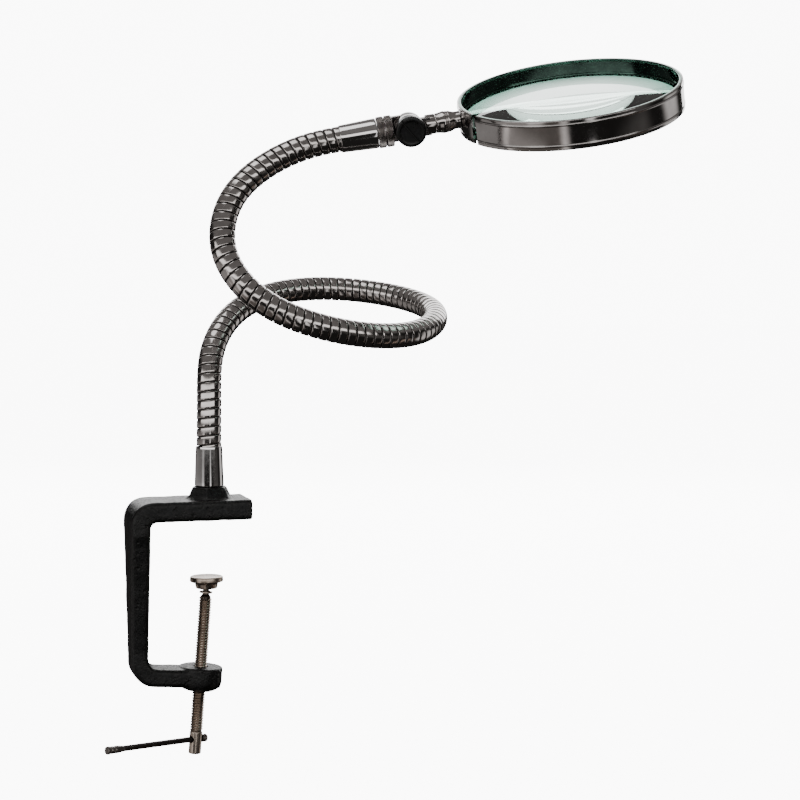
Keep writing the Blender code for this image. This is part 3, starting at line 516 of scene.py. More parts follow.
class Finish:
    """One material in the making, with the helpers that its recipe uses."""

    def __init__(self, name, metallic, axis=(0.0, 0.0, 1.0), centre=(0.0, 0.0, 0.0)):
        self.mat = bpy.data.materials.new(name)
        self.mat.use_nodes = True
        self.tree = self.mat.node_tree
        self.shader = self.tree.nodes["Principled BSDF"]
        self.shader.inputs["Metallic"].default_value = metallic
        where = place_node(self.tree, "ShaderNodeTexCoord")
        turn = Vector(axis).rotation_difference(Vector((0.0, 0.0, 1.0)))
        shift = -(turn @ Vector(centre))
        mapping = {"Vector": where.outputs["Object"], "Location": shift, "Rotation": turn.to_euler()}
        self.where = place_node(self.tree, "ShaderNodeMapping", mapping).outputs[0]

    def use(self, group, output, **values):
        """One output of a shader group, given this material's coordinates and the values named."""
        inputs = {"Vector": self.where}
        inputs.update((key.replace("_", " "), value) for key, value in values.items())
        return place_node(self.tree, "ShaderNodeGroup", inputs, node_tree=group).outputs[output]

    def blend(self, factor, first, second):
        """A mix of two colours, each of them a socket or plain red, green and blue."""
        first, second = (plain_colour(colour) for colour in (first, second))
        inputs = {"Factor": factor, 6: first, 7: second}
        return place_node(self.tree, "ShaderNodeMix", inputs, data_type="RGBA").outputs[2]

    def levels(self, value, low, high, new_low, new_high):
        """The value stretched from one range to another and held inside it."""
        inputs = {"Value": value, 1: low, 2: high, 3: new_low, 4: new_high}
        return place_node(self.tree, "ShaderNodeMapRange", inputs).outputs["Result"]

    def times(self, first, second):
        return place_node(self.tree, "ShaderNodeMath", {0: first, 1: second}, operation="MULTIPLY").outputs[0]

    def distance_from_axis(self):
        """Distance in metres from the axis that the material is laid round."""
        flat = place_node(
            self.tree, "ShaderNodeVectorMath", {0: self.where, 1: (1.0, 1.0, 0.0)}, operation="MULTIPLY"
        )
        length = place_node(self.tree, "ShaderNodeVectorMath", {0: flat.outputs[0]}, operation="LENGTH")
        return length.outputs["Value"]

    def attribute(self, name):
        return place_node(self.tree, "ShaderNodeAttribute", (), attribute_name=name).outputs["Fac"]

    def bump(self, height, distance, strength=1.0):
        inputs = {"Height": height, "Distance": distance, "Strength": strength}
        node = place_node(self.tree, "ShaderNodeBump", inputs)
        join(self.tree, self.shader.inputs["Normal"], node.outputs[0])

    def set(self, **values):
        """Feeds the main shader's inputs, named with underscores for spaces."""
        for key, value in values.items():
            join(self.tree, self.shader.inputs[key.replace("_", " ")], plain_colour(value))


def enamel():
    """Black stoving enamel over a rough casting, rubbed grey here and there."""
    f = Finish("black_enamel", 0.0)
    cloud = f.use(MOTTLE, "Value", Scale=90.0)
    colour = f.blend(cloud, (0.0015, 0.0015, 0.0017), (0.005, 0.005, 0.0055))
    rubbed = f.use(WEAR, "Mask", Scale=620.0, Amount=0.10)
    colour = f.blend(rubbed, colour, (0.05, 0.05, 0.05))
    f.set(Base_Color=colour, Roughness=f.use(MOTTLE, "Value", Scale=900.0, Low=0.24, High=0.48))
    f.set(Specular_IOR_Level=0.26)
    f.bump(f.use(GRAIN, "Height"), 0.00022, 1.0)
    return f.mat


def plated(
    name,
    light,
    dark,
    rough,
    axis,
    centre,
    rings=9000.0,
    ring_depth=0.0000012,
    painted_shade_attribute=None,
    shade=(0.05, 0.75),
    inside=None,
):
    """Plated metal with polishing rings and faint clouding.

    The shade attribute darkens the colour as it falls through the range shade: painted shade for the grooves
    between turns and the thread roots.
    inside gives a radius and a tint: nearer the axis than that radius the metal takes the tint, a painted
    reflection of the green lens edge.
    """
    f = Finish(name, 1.0, axis, centre)
    cloud = f.use(MOTTLE, "Value", Scale=110.0)
    colour = f.blend(cloud, dark, light)
    spots = f.use(WEAR, "Mask", Scale=1500.0, Amount=0.06)
    colour = f.blend(f.times(spots, 0.5), colour, tuple(0.45 * c for c in light))
    # painted shade: where the shade attribute is low, the colour darkens towards a tenth of the dark tone
    if painted_shade_attribute:
        depth = f.levels(f.attribute(painted_shade_attribute), *shade, 0.0, 1.0)
        colour = f.blend(depth, tuple(0.10 * c for c in dark), colour)
    # painted reflection: inside the given radius the colour turns to the tint, standing in for the lens edge
    # reflected in the rim's inner wall
    if inside:
        radius, cast = inside
        inner = f.levels(f.distance_from_axis(), radius - 0.0002, radius, 1.0, 0.0)
        colour = f.blend(inner, colour, f.blend(cloud, cast, tuple(0.5 * c for c in cast)))
    f.set(Base_Color=colour, Roughness=f.use(MOTTLE, "Value", Scale=330.0, Low=rough[0], High=rough[1]))
    f.bump(f.use(LATHE, "Height", Rings_per_metre=rings), ring_depth)
    return f.mat


def moulded(name, colour_low, colour_high, rough, grain=2600.0, depth=0.00003):
    """Fine-grained moulded or blackened surface."""
    f = Finish(name, 0.0)
    cloud = f.use(MOTTLE, "Value", Scale=260.0)
    colour = f.blend(cloud, colour_low, colour_high)
    rubbed = f.use(WEAR, "Mask", Scale=1300.0, Amount=0.09)
    colour = f.blend(rubbed, colour, tuple(4 * c for c in colour_high))
    f.set(Specular_IOR_Level=0.4)
    f.set(Base_Color=colour, Roughness=f.use(MOTTLE, "Value", Scale=800.0, Low=rough[0], High=rough[1]))
    f.bump(f.use(GRAIN, "Height", Grain=grain, Swell=900.0), depth, 0.5)
    return f.mat


def clear_glass():
    """Lens glass, greener towards the edge, with the lightest of finger marks."""
    f = Finish("lens_glass", 0.0, LENS_NORMAL, RIM_MIDDLE)
    smear = f.use(MOTTLE, "Value", Scale=26.0, Low=0.0, High=0.022)
    middle = f.blend(f.use(MOTTLE, "Value", Scale=8.0), (0.80, 0.92, 0.87), (0.84, 0.95, 0.90))
    edge = f.levels(f.distance_from_axis(), 0.020, LENS_RADIUS, 0.0, 1.0)
    tint = f.blend(edge, middle, (0.20, 0.44, 0.34))
    f.set(Base_Color=tint, Roughness=smear, IOR=1.52, Transmission_Weight=1.0)
    return f.mat


NICKEL_LIGHT, NICKEL_DARK = (0.46, 0.435, 0.425), (0.33, 0.31, 0.30)
CHROME_LIGHT, CHROME_DARK = (0.60, 0.59, 0.59), (0.48, 0.465, 0.46)
BRONZE_LIGHT, BRONZE_DARK = (0.44, 0.375, 0.32), (0.30, 0.25, 0.21)
ORIGIN = (0.0, 0.0, 0.0)
UP = (0.0, 0.0, 1.0)

CAST_MAT = enamel()
# painted shade: the rounded edges of each turn of the strip are darkened, standing in for the shade in the
# grooves between turns
WINDING_MAT = plated(
    "wound_nickel",
    NICKEL_LIGHT,
    NICKEL_DARK,
    (0.11, 0.19),
    UP,
    ORIGIN,
    rings=2500.0,
    ring_depth=0.0000003,
    painted_shade_attribute="band",
    shade=(0.80, 0.97),
)
# painted shade: the inner wire is coloured near black, standing in for the shade in the gaps between the
# strip's turns
WIRE_SHADE_MAT = plated("inner_wire", (0.05, 0.047, 0.045), (0.03, 0.028, 0.027), (0.34, 0.5), UP, ORIGIN)
HEAD_MAT = plated("turned_nickel", NICKEL_LIGHT, NICKEL_DARK, (0.09, 0.17), ARM, PIVOT)
KNURL_MAT = plated("knurled_nickel", NICKEL_LIGHT, NICKEL_DARK, (0.22, 0.36), ARM, PIVOT, rings=4000.0)
LOWER_CHROME = plated("upright_chrome", CHROME_LIGHT, CHROME_DARK, (0.05, 0.10), UP, ORIGIN)
UPPER_CHROME = plated("arm_chrome", CHROME_LIGHT, CHROME_DARK, (0.05, 0.10), ARM, PIVOT)
RIM_MAT = plated(
    "rim_chrome",
    (0.42, 0.405, 0.40),
    (0.33, 0.315, 0.31),
    (0.07, 0.13),
    LENS_NORMAL,
    RIM_MIDDLE,
    rings=6000.0,
    # painted reflection: the rim's inner wall and seat are tinted green like the reflected lens edge
    inside=(RIM_RADIUS - RIM_WALL / 2, (0.16, 0.27, 0.225)),
)
# painted shade: the band attribute darkens the thread's roots and the core between its turns
SCREW_MAT = plated(
    "bronzed_screw",
    BRONZE_LIGHT,
    BRONZE_DARK,
    (0.20, 0.34),
    SCREW_UP,
    BALL,
    rings=6000.0,
    ring_depth=0.000003,
    painted_shade_attribute="band",
)
PLAIN_STEEL = plated("bronzed_steel", BRONZE_LIGHT, BRONZE_DARK, (0.22, 0.38), SCREW_UP, BALL, rings=6000.0)
INNER_STEEL = plated("inner_steel", (0.42, 0.41, 0.40), (0.33, 0.32, 0.31), (0.25, 0.4), ARM, PIVOT)
BAR_MAT = plated(
    "blackened_bar", (0.085, 0.075, 0.07), (0.045, 0.04, 0.038), (0.28, 0.42), BAR_DIRECTION, BAR_CENTRE
)
GRIP_MAT = plated(
    "rubbed_grip", (0.22, 0.20, 0.185), (0.10, 0.09, 0.085), (0.28, 0.42), BAR_DIRECTION, BAR_CENTRE
)
KNOB_MAT = moulded("black_knob", (0.002, 0.002, 0.0022), (0.006, 0.006, 0.0065), (0.26, 0.42))
GLASS_MAT = clear_glass()

# ---------------------------------------------------------------- mesh helpers


def rounded(points, closed=False):
    """Rounds the corners of a profile; each point is (radius, height) or (radius, height, fillet)."""
    result = []
    count = len(points)
    for i, point in enumerate(points):
        here = Vector(point[:2])
        fillet = point[2] if len(point) > 2 else 0.0
        inside = closed or 0 < i < count - 1
        if not fillet or not inside:
            result.append(tuple(here))
            continue
        before = Vector(points[i - 1][:2]) - here
        after = Vector(points[(i + 1) % count][:2]) - here
        start = here + before.normalized() * min(fillet, before.length * 0.45)
        end = here + after.normalized() * min(fillet, after.length * 0.45)
        for t in (0.0, 0.25, 0.5, 0.75, 1.0):
            result.append(tuple(start * (1 - t) ** 2 + here * 2 * t * (1 - t) + end * t**2))
    return result


def grid_faces(rows, columns, wrap_rows, wrap_columns):
    """Four-sided faces over a grid of points that may close on itself either way."""
    faces = []
    for i in range(rows if wrap_rows else rows - 1):
        for j in range(columns if wrap_columns else columns - 1):
            k, m = (i + 1) % rows, (j + 1) % columns
            faces.append((i * columns + j, i * columns + m, k * columns + m, k * columns + j))
    return faces


def skinned(name, rings, wrap_rows=False, wrap_columns=True):
    """A mesh over equal rings of points, with its ends closed if the rings don't wrap."""
    columns = len(rings[0])
    verts = [tuple(p) for ring in rings for p in ring]
    faces = grid_faces(len(rings), columns, wrap_rows, wrap_columns)
    if not wrap_rows:
        faces.append(tuple(range(columns)))
        faces.append(tuple(range(len(verts) - columns, len(verts))))
    mesh = bpy.data.meshes.new(name)
    mesh.from_pydata(verts, [], faces)
    return mesh


def lathe(name, profile, sides, closed=False):
    """Turns (radius, height) points round Z; an open profile begins and ends on the axis."""
    profile = rounded(profile, closed)
    rings = []
    for angle in np.linspace(0.0, TAU, sides, endpoint=False):
        c, s = math.cos(angle), math.sin(angle)
        rings.append([(r * c, r * s, z) for r, z in profile])
    columns = len(profile)
    verts = [p for ring in rings for p in ring]
    mesh = bpy.data.meshes.new(name)
    mesh.from_pydata(verts, [], grid_faces(sides, columns, True, closed))
    return mesh


def split_lathe(name, profile, sides, slit, heading):
    """A closed outline turned almost all the way round Z, open by the angle slit at a heading."""
    profile = rounded(profile, True)
    rings = []
    for angle in np.linspace(heading + slit / 2, heading + TAU - slit / 2, sides):
        c, s = math.cos(angle), math.sin(angle)
        rings.append([(r * c, r * s, z) for r, z in profile])
    return skinned(name, rings)


def rod_points(rod, low, high, edge=0.0004):
    """The profile of a plain round rod with rounded edges."""
    return [(0, low), (rod, low, edge), (rod, high, edge), (0, high)]


def cleaned(mesh, place=None, smooth_angle=40):
    """Merges doubled points, turns every face outwards and sets smooth and sharp edges."""
    bm = bmesh.new()
    bm.from_mesh(mesh)
    bmesh.ops.remove_doubles(bm, verts=bm.verts, dist=2e-7)
    bmesh.ops.dissolve_degenerate(bm, edges=bm.edges, dist=1e-7)
    bmesh.ops.recalc_face_normals(bm, faces=bm.faces)
    bm.to_mesh(mesh)
    bm.free()
    if place is not None:
        mesh.transform(place)
    mesh.shade_smooth()
    mesh.set_sharp_from_angle(angle=math.radians(smooth_angle))
    return mesh


def link_object(name, mesh):
    obj = bpy.data.objects.new(name, mesh)
    bpy.context.scene.collection.objects.link(obj)
    return obj


def add_piece(name, mesh, mat, body, slot, *replaced):
    """A finished piece that rides on one body and stands for some CAD nodes."""
    mesh.materials.clear()
    mesh.materials.append(mat)
    obj = link_object(name, mesh)
    if replaced:
        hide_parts(*replaced)
    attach(obj, body)
    return obj


def applied(obj):
    """The object's mesh with its modifiers applied; the object itself is removed."""
    depsgraph = bpy.context.evaluated_depsgraph_get()
    mesh = bpy.data.meshes.new_from_object(obj.evaluated_get(depsgraph))
    bpy.data.objects.remove(obj, do_unlink=True)
    return mesh


def carved(mesh, *steps):
    """A mesh with other meshes joined on or cut away by exact Booleans."""
    obj = link_object("carving", mesh)
    guides = []
    for operation, other in steps:
        guide = link_object("guide", other)
        guide.hide_render = True
        guide.display_type = "WIRE"
        guides.append(guide)
        modifier = obj.modifiers.new(operation.lower(), "BOOLEAN")
        modifier.operation = operation
        modifier.solver = "EXACT"
        modifier.object = guide
    result = applied(obj)
    for guide in guides:
        bpy.data.objects.remove(guide, do_unlink=True)
    return result


def joined(first, second):
    """One mesh with the faces and materials of both."""
    bm = bmesh.new()
    bm.from_mesh(first)
    count = len(bm.faces)
    bm.from_mesh(second)
    bm.faces.ensure_lookup_table()
    for face in bm.faces[count:]:
        face.material_index += len(first.materials)
    bm.to_mesh(first)
    bm.free()
    for mat in second.materials:
        first.materials.append(mat)
    return first


def box_mesh(low, high):
    x0, y0, z0 = low
    x1, y1, z1 = high
    rings = [[(x0, y0, z), (x1, y0, z), (x1, y1, z), (x0, y1, z)] for z in (z0, z1)]
    return cleaned(skinned("block", rings))


# ---------------------------------------------------------------- neck centre line


def smooth_route(points, first_slope, last_slope, count=1200):
    """A cubic spline through the points with set end directions, sampled evenly along it."""
    pts = np.array(points)
    steps = np.linalg.norm(np.diff(pts, axis=0), axis=1)
    knots = np.concatenate(([0.0], np.cumsum(steps)))
    size = len(pts)
    system = np.zeros((size, size))
    target = np.zeros((size, 3))
    system[0, 0] = system[-1, -1] = 1.0
    target[0] = first_slope
    target[-1] = last_slope
    for i in range(1, size - 1):
        before, after = steps[i - 1], steps[i]
        system[i, i - 1 : i + 2] = (1 / before, 2 / before + 2 / after, 1 / after)
        target[i] = 3 * ((pts[i] - pts[i - 1]) / before**2 + (pts[i + 1] - pts[i]) / after**2)
    slopes = np.linalg.solve(system, target)
    place = np.linspace(0.0, knots[-1], 4 * count)
    span = np.clip(np.searchsorted(knots, place, side="right") - 1, 0, size - 2)
    width = steps[span][:, None]
    u = (place[:, None] - knots[span][:, None]) / width
    line = (
        (2 * u**3 - 3 * u**2 + 1) * pts[span]
        + (u**3 - 2 * u**2 + u) * width * slopes[span]
        + (-2 * u**3 + 3 * u**2) * pts[span + 1]
        + (u**3 - u**2) * width * slopes[span + 1]
    )
    travelled = np.concatenate(([0.0], np.cumsum(np.linalg.norm(np.diff(line, axis=0), axis=1))))
    even = np.linspace(0.0, travelled[-1], count)
    return even, np.stack([np.interp(even, travelled, line[:, k]) for k in range(3)], axis=1)


NECK_RUN, NECK_LINE = smooth_route(NECK_ROUTE, UP, tuple(ARM))
NECK_LENGTH = NECK_RUN[-1]


def neck_point(run):
    """The place on the neck's centre line at a length from its lower end."""
    return Vector([float(np.interp(run, NECK_RUN, NECK_LINE[:, k])) for k in range(3)])


# ---------------------------------------------------------------- geometry nodes


class Recipe:
    """A Geometry Nodes tree in the making, with named inputs for its sizes."""

    def __init__(self, name, inputs):
        self.tree = bpy.data.node_groups.new(name, "GeometryNodeTree")
        face = self.tree.interface
        face.new_socket("Geometry", in_out="OUTPUT", socket_type="NodeSocketGeometry")
        for label, kind in inputs:
            face.new_socket(label, in_out="INPUT", socket_type="NodeSocket" + kind)
        self.given = self.tree.nodes.new("NodeGroupInput").outputs

    def node(self, kind, inputs=(), **settings):
        return place_node(self.tree, kind, inputs, **settings)

    def math(self, operation, *values):
        node = self.node("ShaderNodeMath", dict(enumerate(values)), operation=operation)
        return node.outputs[0]

    def vector(self, operation, *values):
        node = self.node("ShaderNodeVectorMath", dict(enumerate(values)), operation=operation)
        return node.outputs["Value" if operation in ("DOT_PRODUCT", "LENGTH") else "Vector"]

    def scaled(self, vector, factor):
        return self.node("ShaderNodeVectorMath", {0: vector, "Scale": factor}, operation="SCALE").outputs[0]

    def finish(self, geometry, material):
        real = self.node("GeometryNodeRealizeInstances", {0: geometry})
        painted = self.node("GeometryNodeSetMaterial", {"Geometry": real.outputs[0], "Material": material})
        out = self.tree.nodes.new("NodeGroupOutput")
        self.tree.links.new(painted.outputs[0], out.inputs[0])

    def grown(self, **values):
        """Runs the tree with the given inputs and returns the plain mesh that it makes."""
        obj = link_object("growing", bpy.data.meshes.new("growing"))
        modifier = obj.modifiers.new("recipe", "NODES")
        modifier.node_group = self.tree
        for item in self.tree.interface.items_tree:
            if item.in_out == "INPUT":
                modifier[item.identifier] = values[item.name.replace(" ", "_")]
        mesh = applied(obj)
        mesh.materials.clear()
        mesh.materials.append(values["Material"])
        mesh.polygons.foreach_set("material_index", [0] * len(mesh.polygons))
        return mesh


def wound_strip_recipe():
    """A strip wound in a helix along a route, with a rounded section and closed ends."""
    inputs = (
        ("Route", "Object"),
        ("Material", "Material"),
        ("Steps", "Int"),
        ("First turn", "Float"),
        ("Last turn", "Float"),
        ("Along shift", "Float"),
        ("Pitch", "Float"),
        ("Radius", "Float"),
        ("Half width", "Float"),
        ("Half thickness", "Float"),
        ("Squareness", "Float"),
        ("Section points", "Int"),
    )
    r = Recipe("wound_strip", inputs)
    given = r.given
    along_count = r.math("ADD", given["Steps"], 3.0)
    round_count = r.math("ADD", given["Section points"], 1.0)
    sheet = r.node(
        "GeometryNodeMeshGrid",
        {"Size X": 1.0, "Size Y": 1.0, "Vertices X": along_count, "Vertices Y": round_count},
    )
    spot = r.node("ShaderNodeSeparateXYZ", {0: r.node("GeometryNodeInputPosition").outputs[0]})
    along = r.math("MULTIPLY", r.math("ADD", spot.outputs["X"], 0.5), r.math("ADD", given["Steps"], 2.0))
    share = r.math("DIVIDE", r.math("SUBTRACT", along, 1.0), given["Steps"])
    share = r.node("ShaderNodeClamp", {0: share}).outputs[0]
    turns = r.math("SUBTRACT", given["Last turn"], given["First turn"])
    turn = r.math("MULTIPLY_ADD", share, turns, given["First turn"])
    angle = r.math("MULTIPLY", turn, TAU)
    run = r.math("MULTIPLY_ADD", turn, given["Pitch"], given["Along shift"])
    # the first and last rows shrink to a point, which closes the ends
    rows_inside = r.math("MINIMUM", along, r.math("SUBTRACT", r.math("ADD", given["Steps"], 2.0), along))
    open_end = r.math("GREATER_THAN", rows_inside, 0.5)
    around = r.math("MULTIPLY", r.math("ADD", spot.outputs["Y"], 0.5), TAU)
    power = r.math("DIVIDE", 2.0, given["Squareness"])

    def flattened(wave):
        size = r.math("POWER", r.math("ABSOLUTE", wave), power)
        return r.math("MULTIPLY", r.math("MULTIPLY", r.math("SIGN", wave), size), open_end)

    across = flattened(r.math("COSINE", around))
    outward = flattened(r.math("SINE", around))
    route = r.node("GeometryNodeObjectInfo", {"Object": given["Route"]}, transform_space="ORIGINAL")

    def sampled(length):
        inputs = {"Curves": route.outputs["Geometry"], "Length": length}
        return r.node("GeometryNodeSampleCurve", inputs, mode="LENGTH")

    here = sampled(run)
    tangent, normal = here.outputs["Tangent"], here.outputs["Normal"]
    side = r.vector("CROSS_PRODUCT", tangent, normal)
    spoke = r.vector(
        "ADD", r.scaled(normal, r.math("COSINE", angle)), r.scaled(side, r.math("SINE", angle))
    )
    # turns crowd together on the inside of a bend and open up on its outside
    span = 0.002
    ahead = sampled(r.math("ADD", run, span)).outputs["Tangent"]
    behind = sampled(r.math("SUBTRACT", run, span)).outputs["Tangent"]
    bend = r.scaled(r.vector("SUBTRACT", ahead, behind), 0.5 / span)
    crowding = r.math("MULTIPLY", r.vector("DOT_PRODUCT", bend, spoke), given["Radius"])
    spread = r.math("SUBTRACT", 1.0, crowding)
    across_size = r.math("MULTIPLY", r.math("MULTIPLY", across, given["Half width"]), spread)
    reach = r.math("SUBTRACT", given["Radius"], given["Half thickness"])
    reach = r.math("MULTIPLY_ADD", outward, given["Half thickness"], reach)
    position = r.vector("ADD", here.outputs["Position"], r.scaled(tangent, across_size))
    position = r.vector("ADD", position, r.scaled(spoke, reach))
    # the band value comes from the flat sheet, so it is stored before the sheet is wound
    # the plated materials darken the colour where band is low, as painted shade at the strip's edges
    band = r.math("MULTIPLY_ADD", outward, 0.5, 0.5)
    stored = r.node(
        "GeometryNodeStoreNamedAttribute",
        {"Geometry": sheet.outputs["Mesh"], "Name": "band", "Value": band},
        data_type="FLOAT",
        domain="POINT",
    )
    moved = r.node("GeometryNodeSetPosition", {"Geometry": stored.outputs[0], "Position": position})
    merged = r.node("GeometryNodeMergeByDistance", {"Geometry": moved.outputs[0], "Distance": 1e-7})
    r.finish(merged.outputs[0], given["Material"])
    return r


def ring_of_studs_recipe():
    """Rows of small four-sided points round the Z axis, every other row turned half a step."""
    inputs = (
        ("Material", "Material"),
        ("Count", "Int"),
        ("Rows", "Int"),
        ("Radius", "Float"),
        ("Low", "Float"),
        ("High", "Float"),
        ("Point width", "Float"),
        ("Point height", "Float"),
    )
    r = Recipe("knurled_band", inputs)
    given = r.given
    columns = r.math("ADD", given["Count"], 1.0)
    sheet = r.node(
        "GeometryNodeMeshGrid",
        {"Size X": 1.0, "Size Y": 1.0, "Vertices X": columns, "Vertices Y": given["Rows"]},
    )
    spot = r.node("ShaderNodeSeparateXYZ", {0: r.node("GeometryNodeInputPosition").outputs[0]})
    share = r.math("ADD", spot.outputs["Y"], 0.5)
    row = r.math("ROUND", r.math("MULTIPLY", share, r.math("SUBTRACT", given["Rows"], 1.0)))
    shift = r.math("MULTIPLY", r.math("MODULO", row, 2.0), r.math("DIVIDE", 0.5, given["Count"]))
    angle = r.math("MULTIPLY", r.math("ADD", spot.outputs["X"], shift), TAU)
    height = r.math("MULTIPLY_ADD", share, r.math("SUBTRACT", given["High"], given["Low"]), given["Low"])
    spoke = r.node("ShaderNodeCombineXYZ", {0: r.math("COSINE", angle), 1: r.math("SINE", angle)}).outputs[0]
    lift = r.node("ShaderNodeCombineXYZ", {2: height}).outputs[0]
    position = r.vector("ADD", r.scaled(spoke, given["Radius"]), lift)
    placed = r.node("GeometryNodeSetPosition", {"Geometry": sheet.outputs["Mesh"], "Position": position})
    merged = r.node("GeometryNodeMergeByDistance", {"Geometry": placed.outputs[0], "Distance": 1e-6})
    cone = r.node(
        "GeometryNodeMeshCone",
        {
            "Vertices": 4,
            "Radius Top": r.math("MULTIPLY", given["Point width"], 0.12),
            "Radius Bottom": r.math("MULTIPLY", given["Point width"], 0.5),
            "Depth": given["Point height"],
        },
    )
    outward = r.node("GeometryNodeInputPosition").outputs[0]
    flat = r.vector("MULTIPLY", outward, (1.0, 1.0, 0.0))
    turn = r.node("FunctionNodeAlignRotationToVector", {"Vector": flat}, axis="Z", pivot_axis="AUTO")
    studs = r.node(
        "GeometryNodeInstanceOnPoints",
        {"Points": merged.outputs[0], "Instance": cone.outputs["Mesh"], "Rotation": turn.outputs[0]},
    )
    r.finish(studs.outputs[0], given["Material"])
    return r


WOUND_STRIP = wound_strip_recipe()
KNURLED_BAND = ring_of_studs_recipe()


def route_object(name, points):
    """A curve through the given points, for a recipe to follow."""
    data = bpy.data.curves.new(name, "CURVE")
    data.dimensions = "3D"
    spline = data.splines.new("POLY")
    spline.points.add(len(points) - 1)
    for point, place in zip(spline.points, points):
        point.co = (*place, 1.0)
    obj = bpy.data.objects.new(name, data)
    bpy.context.scene.collection.objects.link(obj)
    return obj


# ---------------------------------------------------------------- clamp


def casting_section(inner, outer, half_width):
    """A rounded rectangle between an inner and an outer point of the C shape."""
    across = Vector((outer[0] - inner[0], 0.0, outer[1] - inner[1]))
    length = across.length
    across.normalize()
    base = Vector((inner[0], 0.0, inner[1]))
    near, far = CASTING_EDGE, length - CASTING_EDGE
    side = half_width - CASTING_EDGE
    quarter = math.pi / 2
    corners = ((near, -side, 2 * quarter), (far, -side, 3 * quarter), (far, side, 0.0), (near, side, quarter))
    ring = []
    for u, v, begin in corners:
        for step in range(5):
            angle = begin + step * math.pi / 8
            along = base + across * (u + CASTING_EDGE * math.cos(angle))
            ring.append(along + Vector((0.0, v + CASTING_EDGE * math.sin(angle), 0.0)))
    return ring


def corner_arc(centre, radius, begin, finish, steps):
    """Points round part of a circle in the plane of the clamp."""
    angles = np.linspace(begin, finish, steps + 1)
    return [(centre[0] + radius * math.cos(a), centre[1] + radius * math.sin(a)) for a in angles]


def casting_sections():
    """Sections from the upper jaw's tip round the spine to the lower arm's tip."""
    down = Vector((math.sin(-LOWER_ARM_DROOP), 0, -math.cos(LOWER_ARM_DROOP)))
    along = Vector((math.cos(LOWER_ARM_DROOP), 0, -math.sin(LOWER_ARM_DROOP)))
    quarter = math.pi / 2
    steps = 12
    sections = []

    def add(inner, outer, width):
        sections.append(casting_section(inner, outer, width / 2))

    for x in (JAW_REACH, JAW_REACH - 0.004, 0.0, SPINE_INNER_X + TOP_OUTER_RADIUS):
        add((x, 0.0), (x, JAW_THICKNESS), JAW_WIDTH)
    inner_centre = (SPINE_INNER_X + TOP_INNER_RADIUS, -TOP_INNER_RADIUS)
    outer_centre = (SPINE_INNER_X - SPINE_THICKNESS + TOP_OUTER_RADIUS, JAW_THICKNESS - TOP_OUTER_RADIUS)
    inner_arc = corner_arc(inner_centre, TOP_INNER_RADIUS, quarter, math.pi, steps)
    outer_arc = corner_arc(outer_centre, TOP_OUTER_RADIUS, quarter, math.pi, steps)
    for inner, outer in zip(inner_arc, outer_arc):
        add(inner, outer, JAW_WIDTH)
    spine_top = -0.006
    spine_foot = -THROAT + 0.008
    for part in np.linspace(0.0, 1.0, 12):
        z = spine_top + (spine_foot - spine_top) * part
        inner_x = SPINE_INNER_X - SPINE_LEAN * part
        width = JAW_WIDTH + (LOWER_ARM_WIDTH - JAW_WIDTH) * (part**0.8)
        add((inner_x, z), (inner_x - SPINE_THICKNESS + SPINE_TAPER * part, z), width)
    turn = quarter - LOWER_ARM_DROOP
    inner_centre = (SPINE_INNER_X - SPINE_LEAN + FOOT_INNER_RADIUS, FOOT_INNER_RADIUS - THROAT)
    outer_floor = -THROAT + down.z * LOWER_ARM_THICKNESS
    outer_x = SPINE_INNER_X - SPINE_LEAN - SPINE_THICKNESS + SPINE_TAPER
    outer_centre = (outer_x + FOOT_OUTER_RADIUS, outer_floor + FOOT_OUTER_RADIUS)
    inner_arc = corner_arc(inner_centre, FOOT_INNER_RADIUS, math.pi, math.pi + turn, steps)
    outer_arc = corner_arc(outer_centre, FOOT_OUTER_RADIUS, math.pi, math.pi + turn, steps)
    for inner, outer in zip(inner_arc, outer_arc):
        add(inner, outer, LOWER_ARM_WIDTH)
    start = Vector((inner_arc[-1][0], 0, inner_arc[-1][1]))
    for run in LOWER_ARM_STATIONS:
        inner = start + along * run
        outer = inner + down * LOWER_ARM_THICKNESS
        add((inner.x, inner.z), (outer.x, outer.z), LOWER_ARM_WIDTH)
    return sections


def seat_rings():
    """The six-sided seat, flared where it runs into the jaw."""
    heights = (
        (JAW_THICKNESS - 0.0020, SEAT_FOOT_RADIUS + 0.0008, 0.0),
        (JAW_THICKNESS - 0.0002, SEAT_FOOT_RADIUS + 0.0004, 0.1),
        (JAW_THICKNESS + 0.0005, SEAT_FOOT_RADIUS - 0.0006, 0.5),
        (JAW_THICKNESS + 0.0012, SEAT_FOOT_RADIUS - 0.0013, 0.9),
        (JAW_THICKNESS + 0.0020, SEAT_FOOT_RADIUS - 0.0018, 1.0),
        (SEAT_TOP_Z - 0.0006, SEAT_TOP_RADIUS + 0.0002, 1.0),
        (SEAT_TOP_Z, SEAT_TOP_RADIUS - 0.0004, 0.8),
    )
    third = math.pi / 3
    rings = []
    for z, radius, hexagonal in heights:
        ring = []
        for angle in np.linspace(0.0, TAU, 72, endpoint=False):
            flat = math.cos(third / 2) / math.cos((angle + third / 2) % third - third / 2)
            reach = radius * (1 - hexagonal + hexagonal * flat)
            heading = SEAT_HEADING + angle
            ring.append((reach * math.cos(heading), reach * math.sin(heading), z))
        rings.append(ring)
    return rings


def roughened(mesh, coarse, fine):
    """Moves each point along its normal by cloudy noise, as a sand mould leaves a casting."""
    for vert, normal in zip(mesh.vertices, [n.vector.copy() for n in mesh.vertex_normals]):
        broad = noise.noise(vert.co * 160.0)
        small = noise.noise(vert.co * 900.0)
        vert.co += normal * (coarse * broad + fine * small)


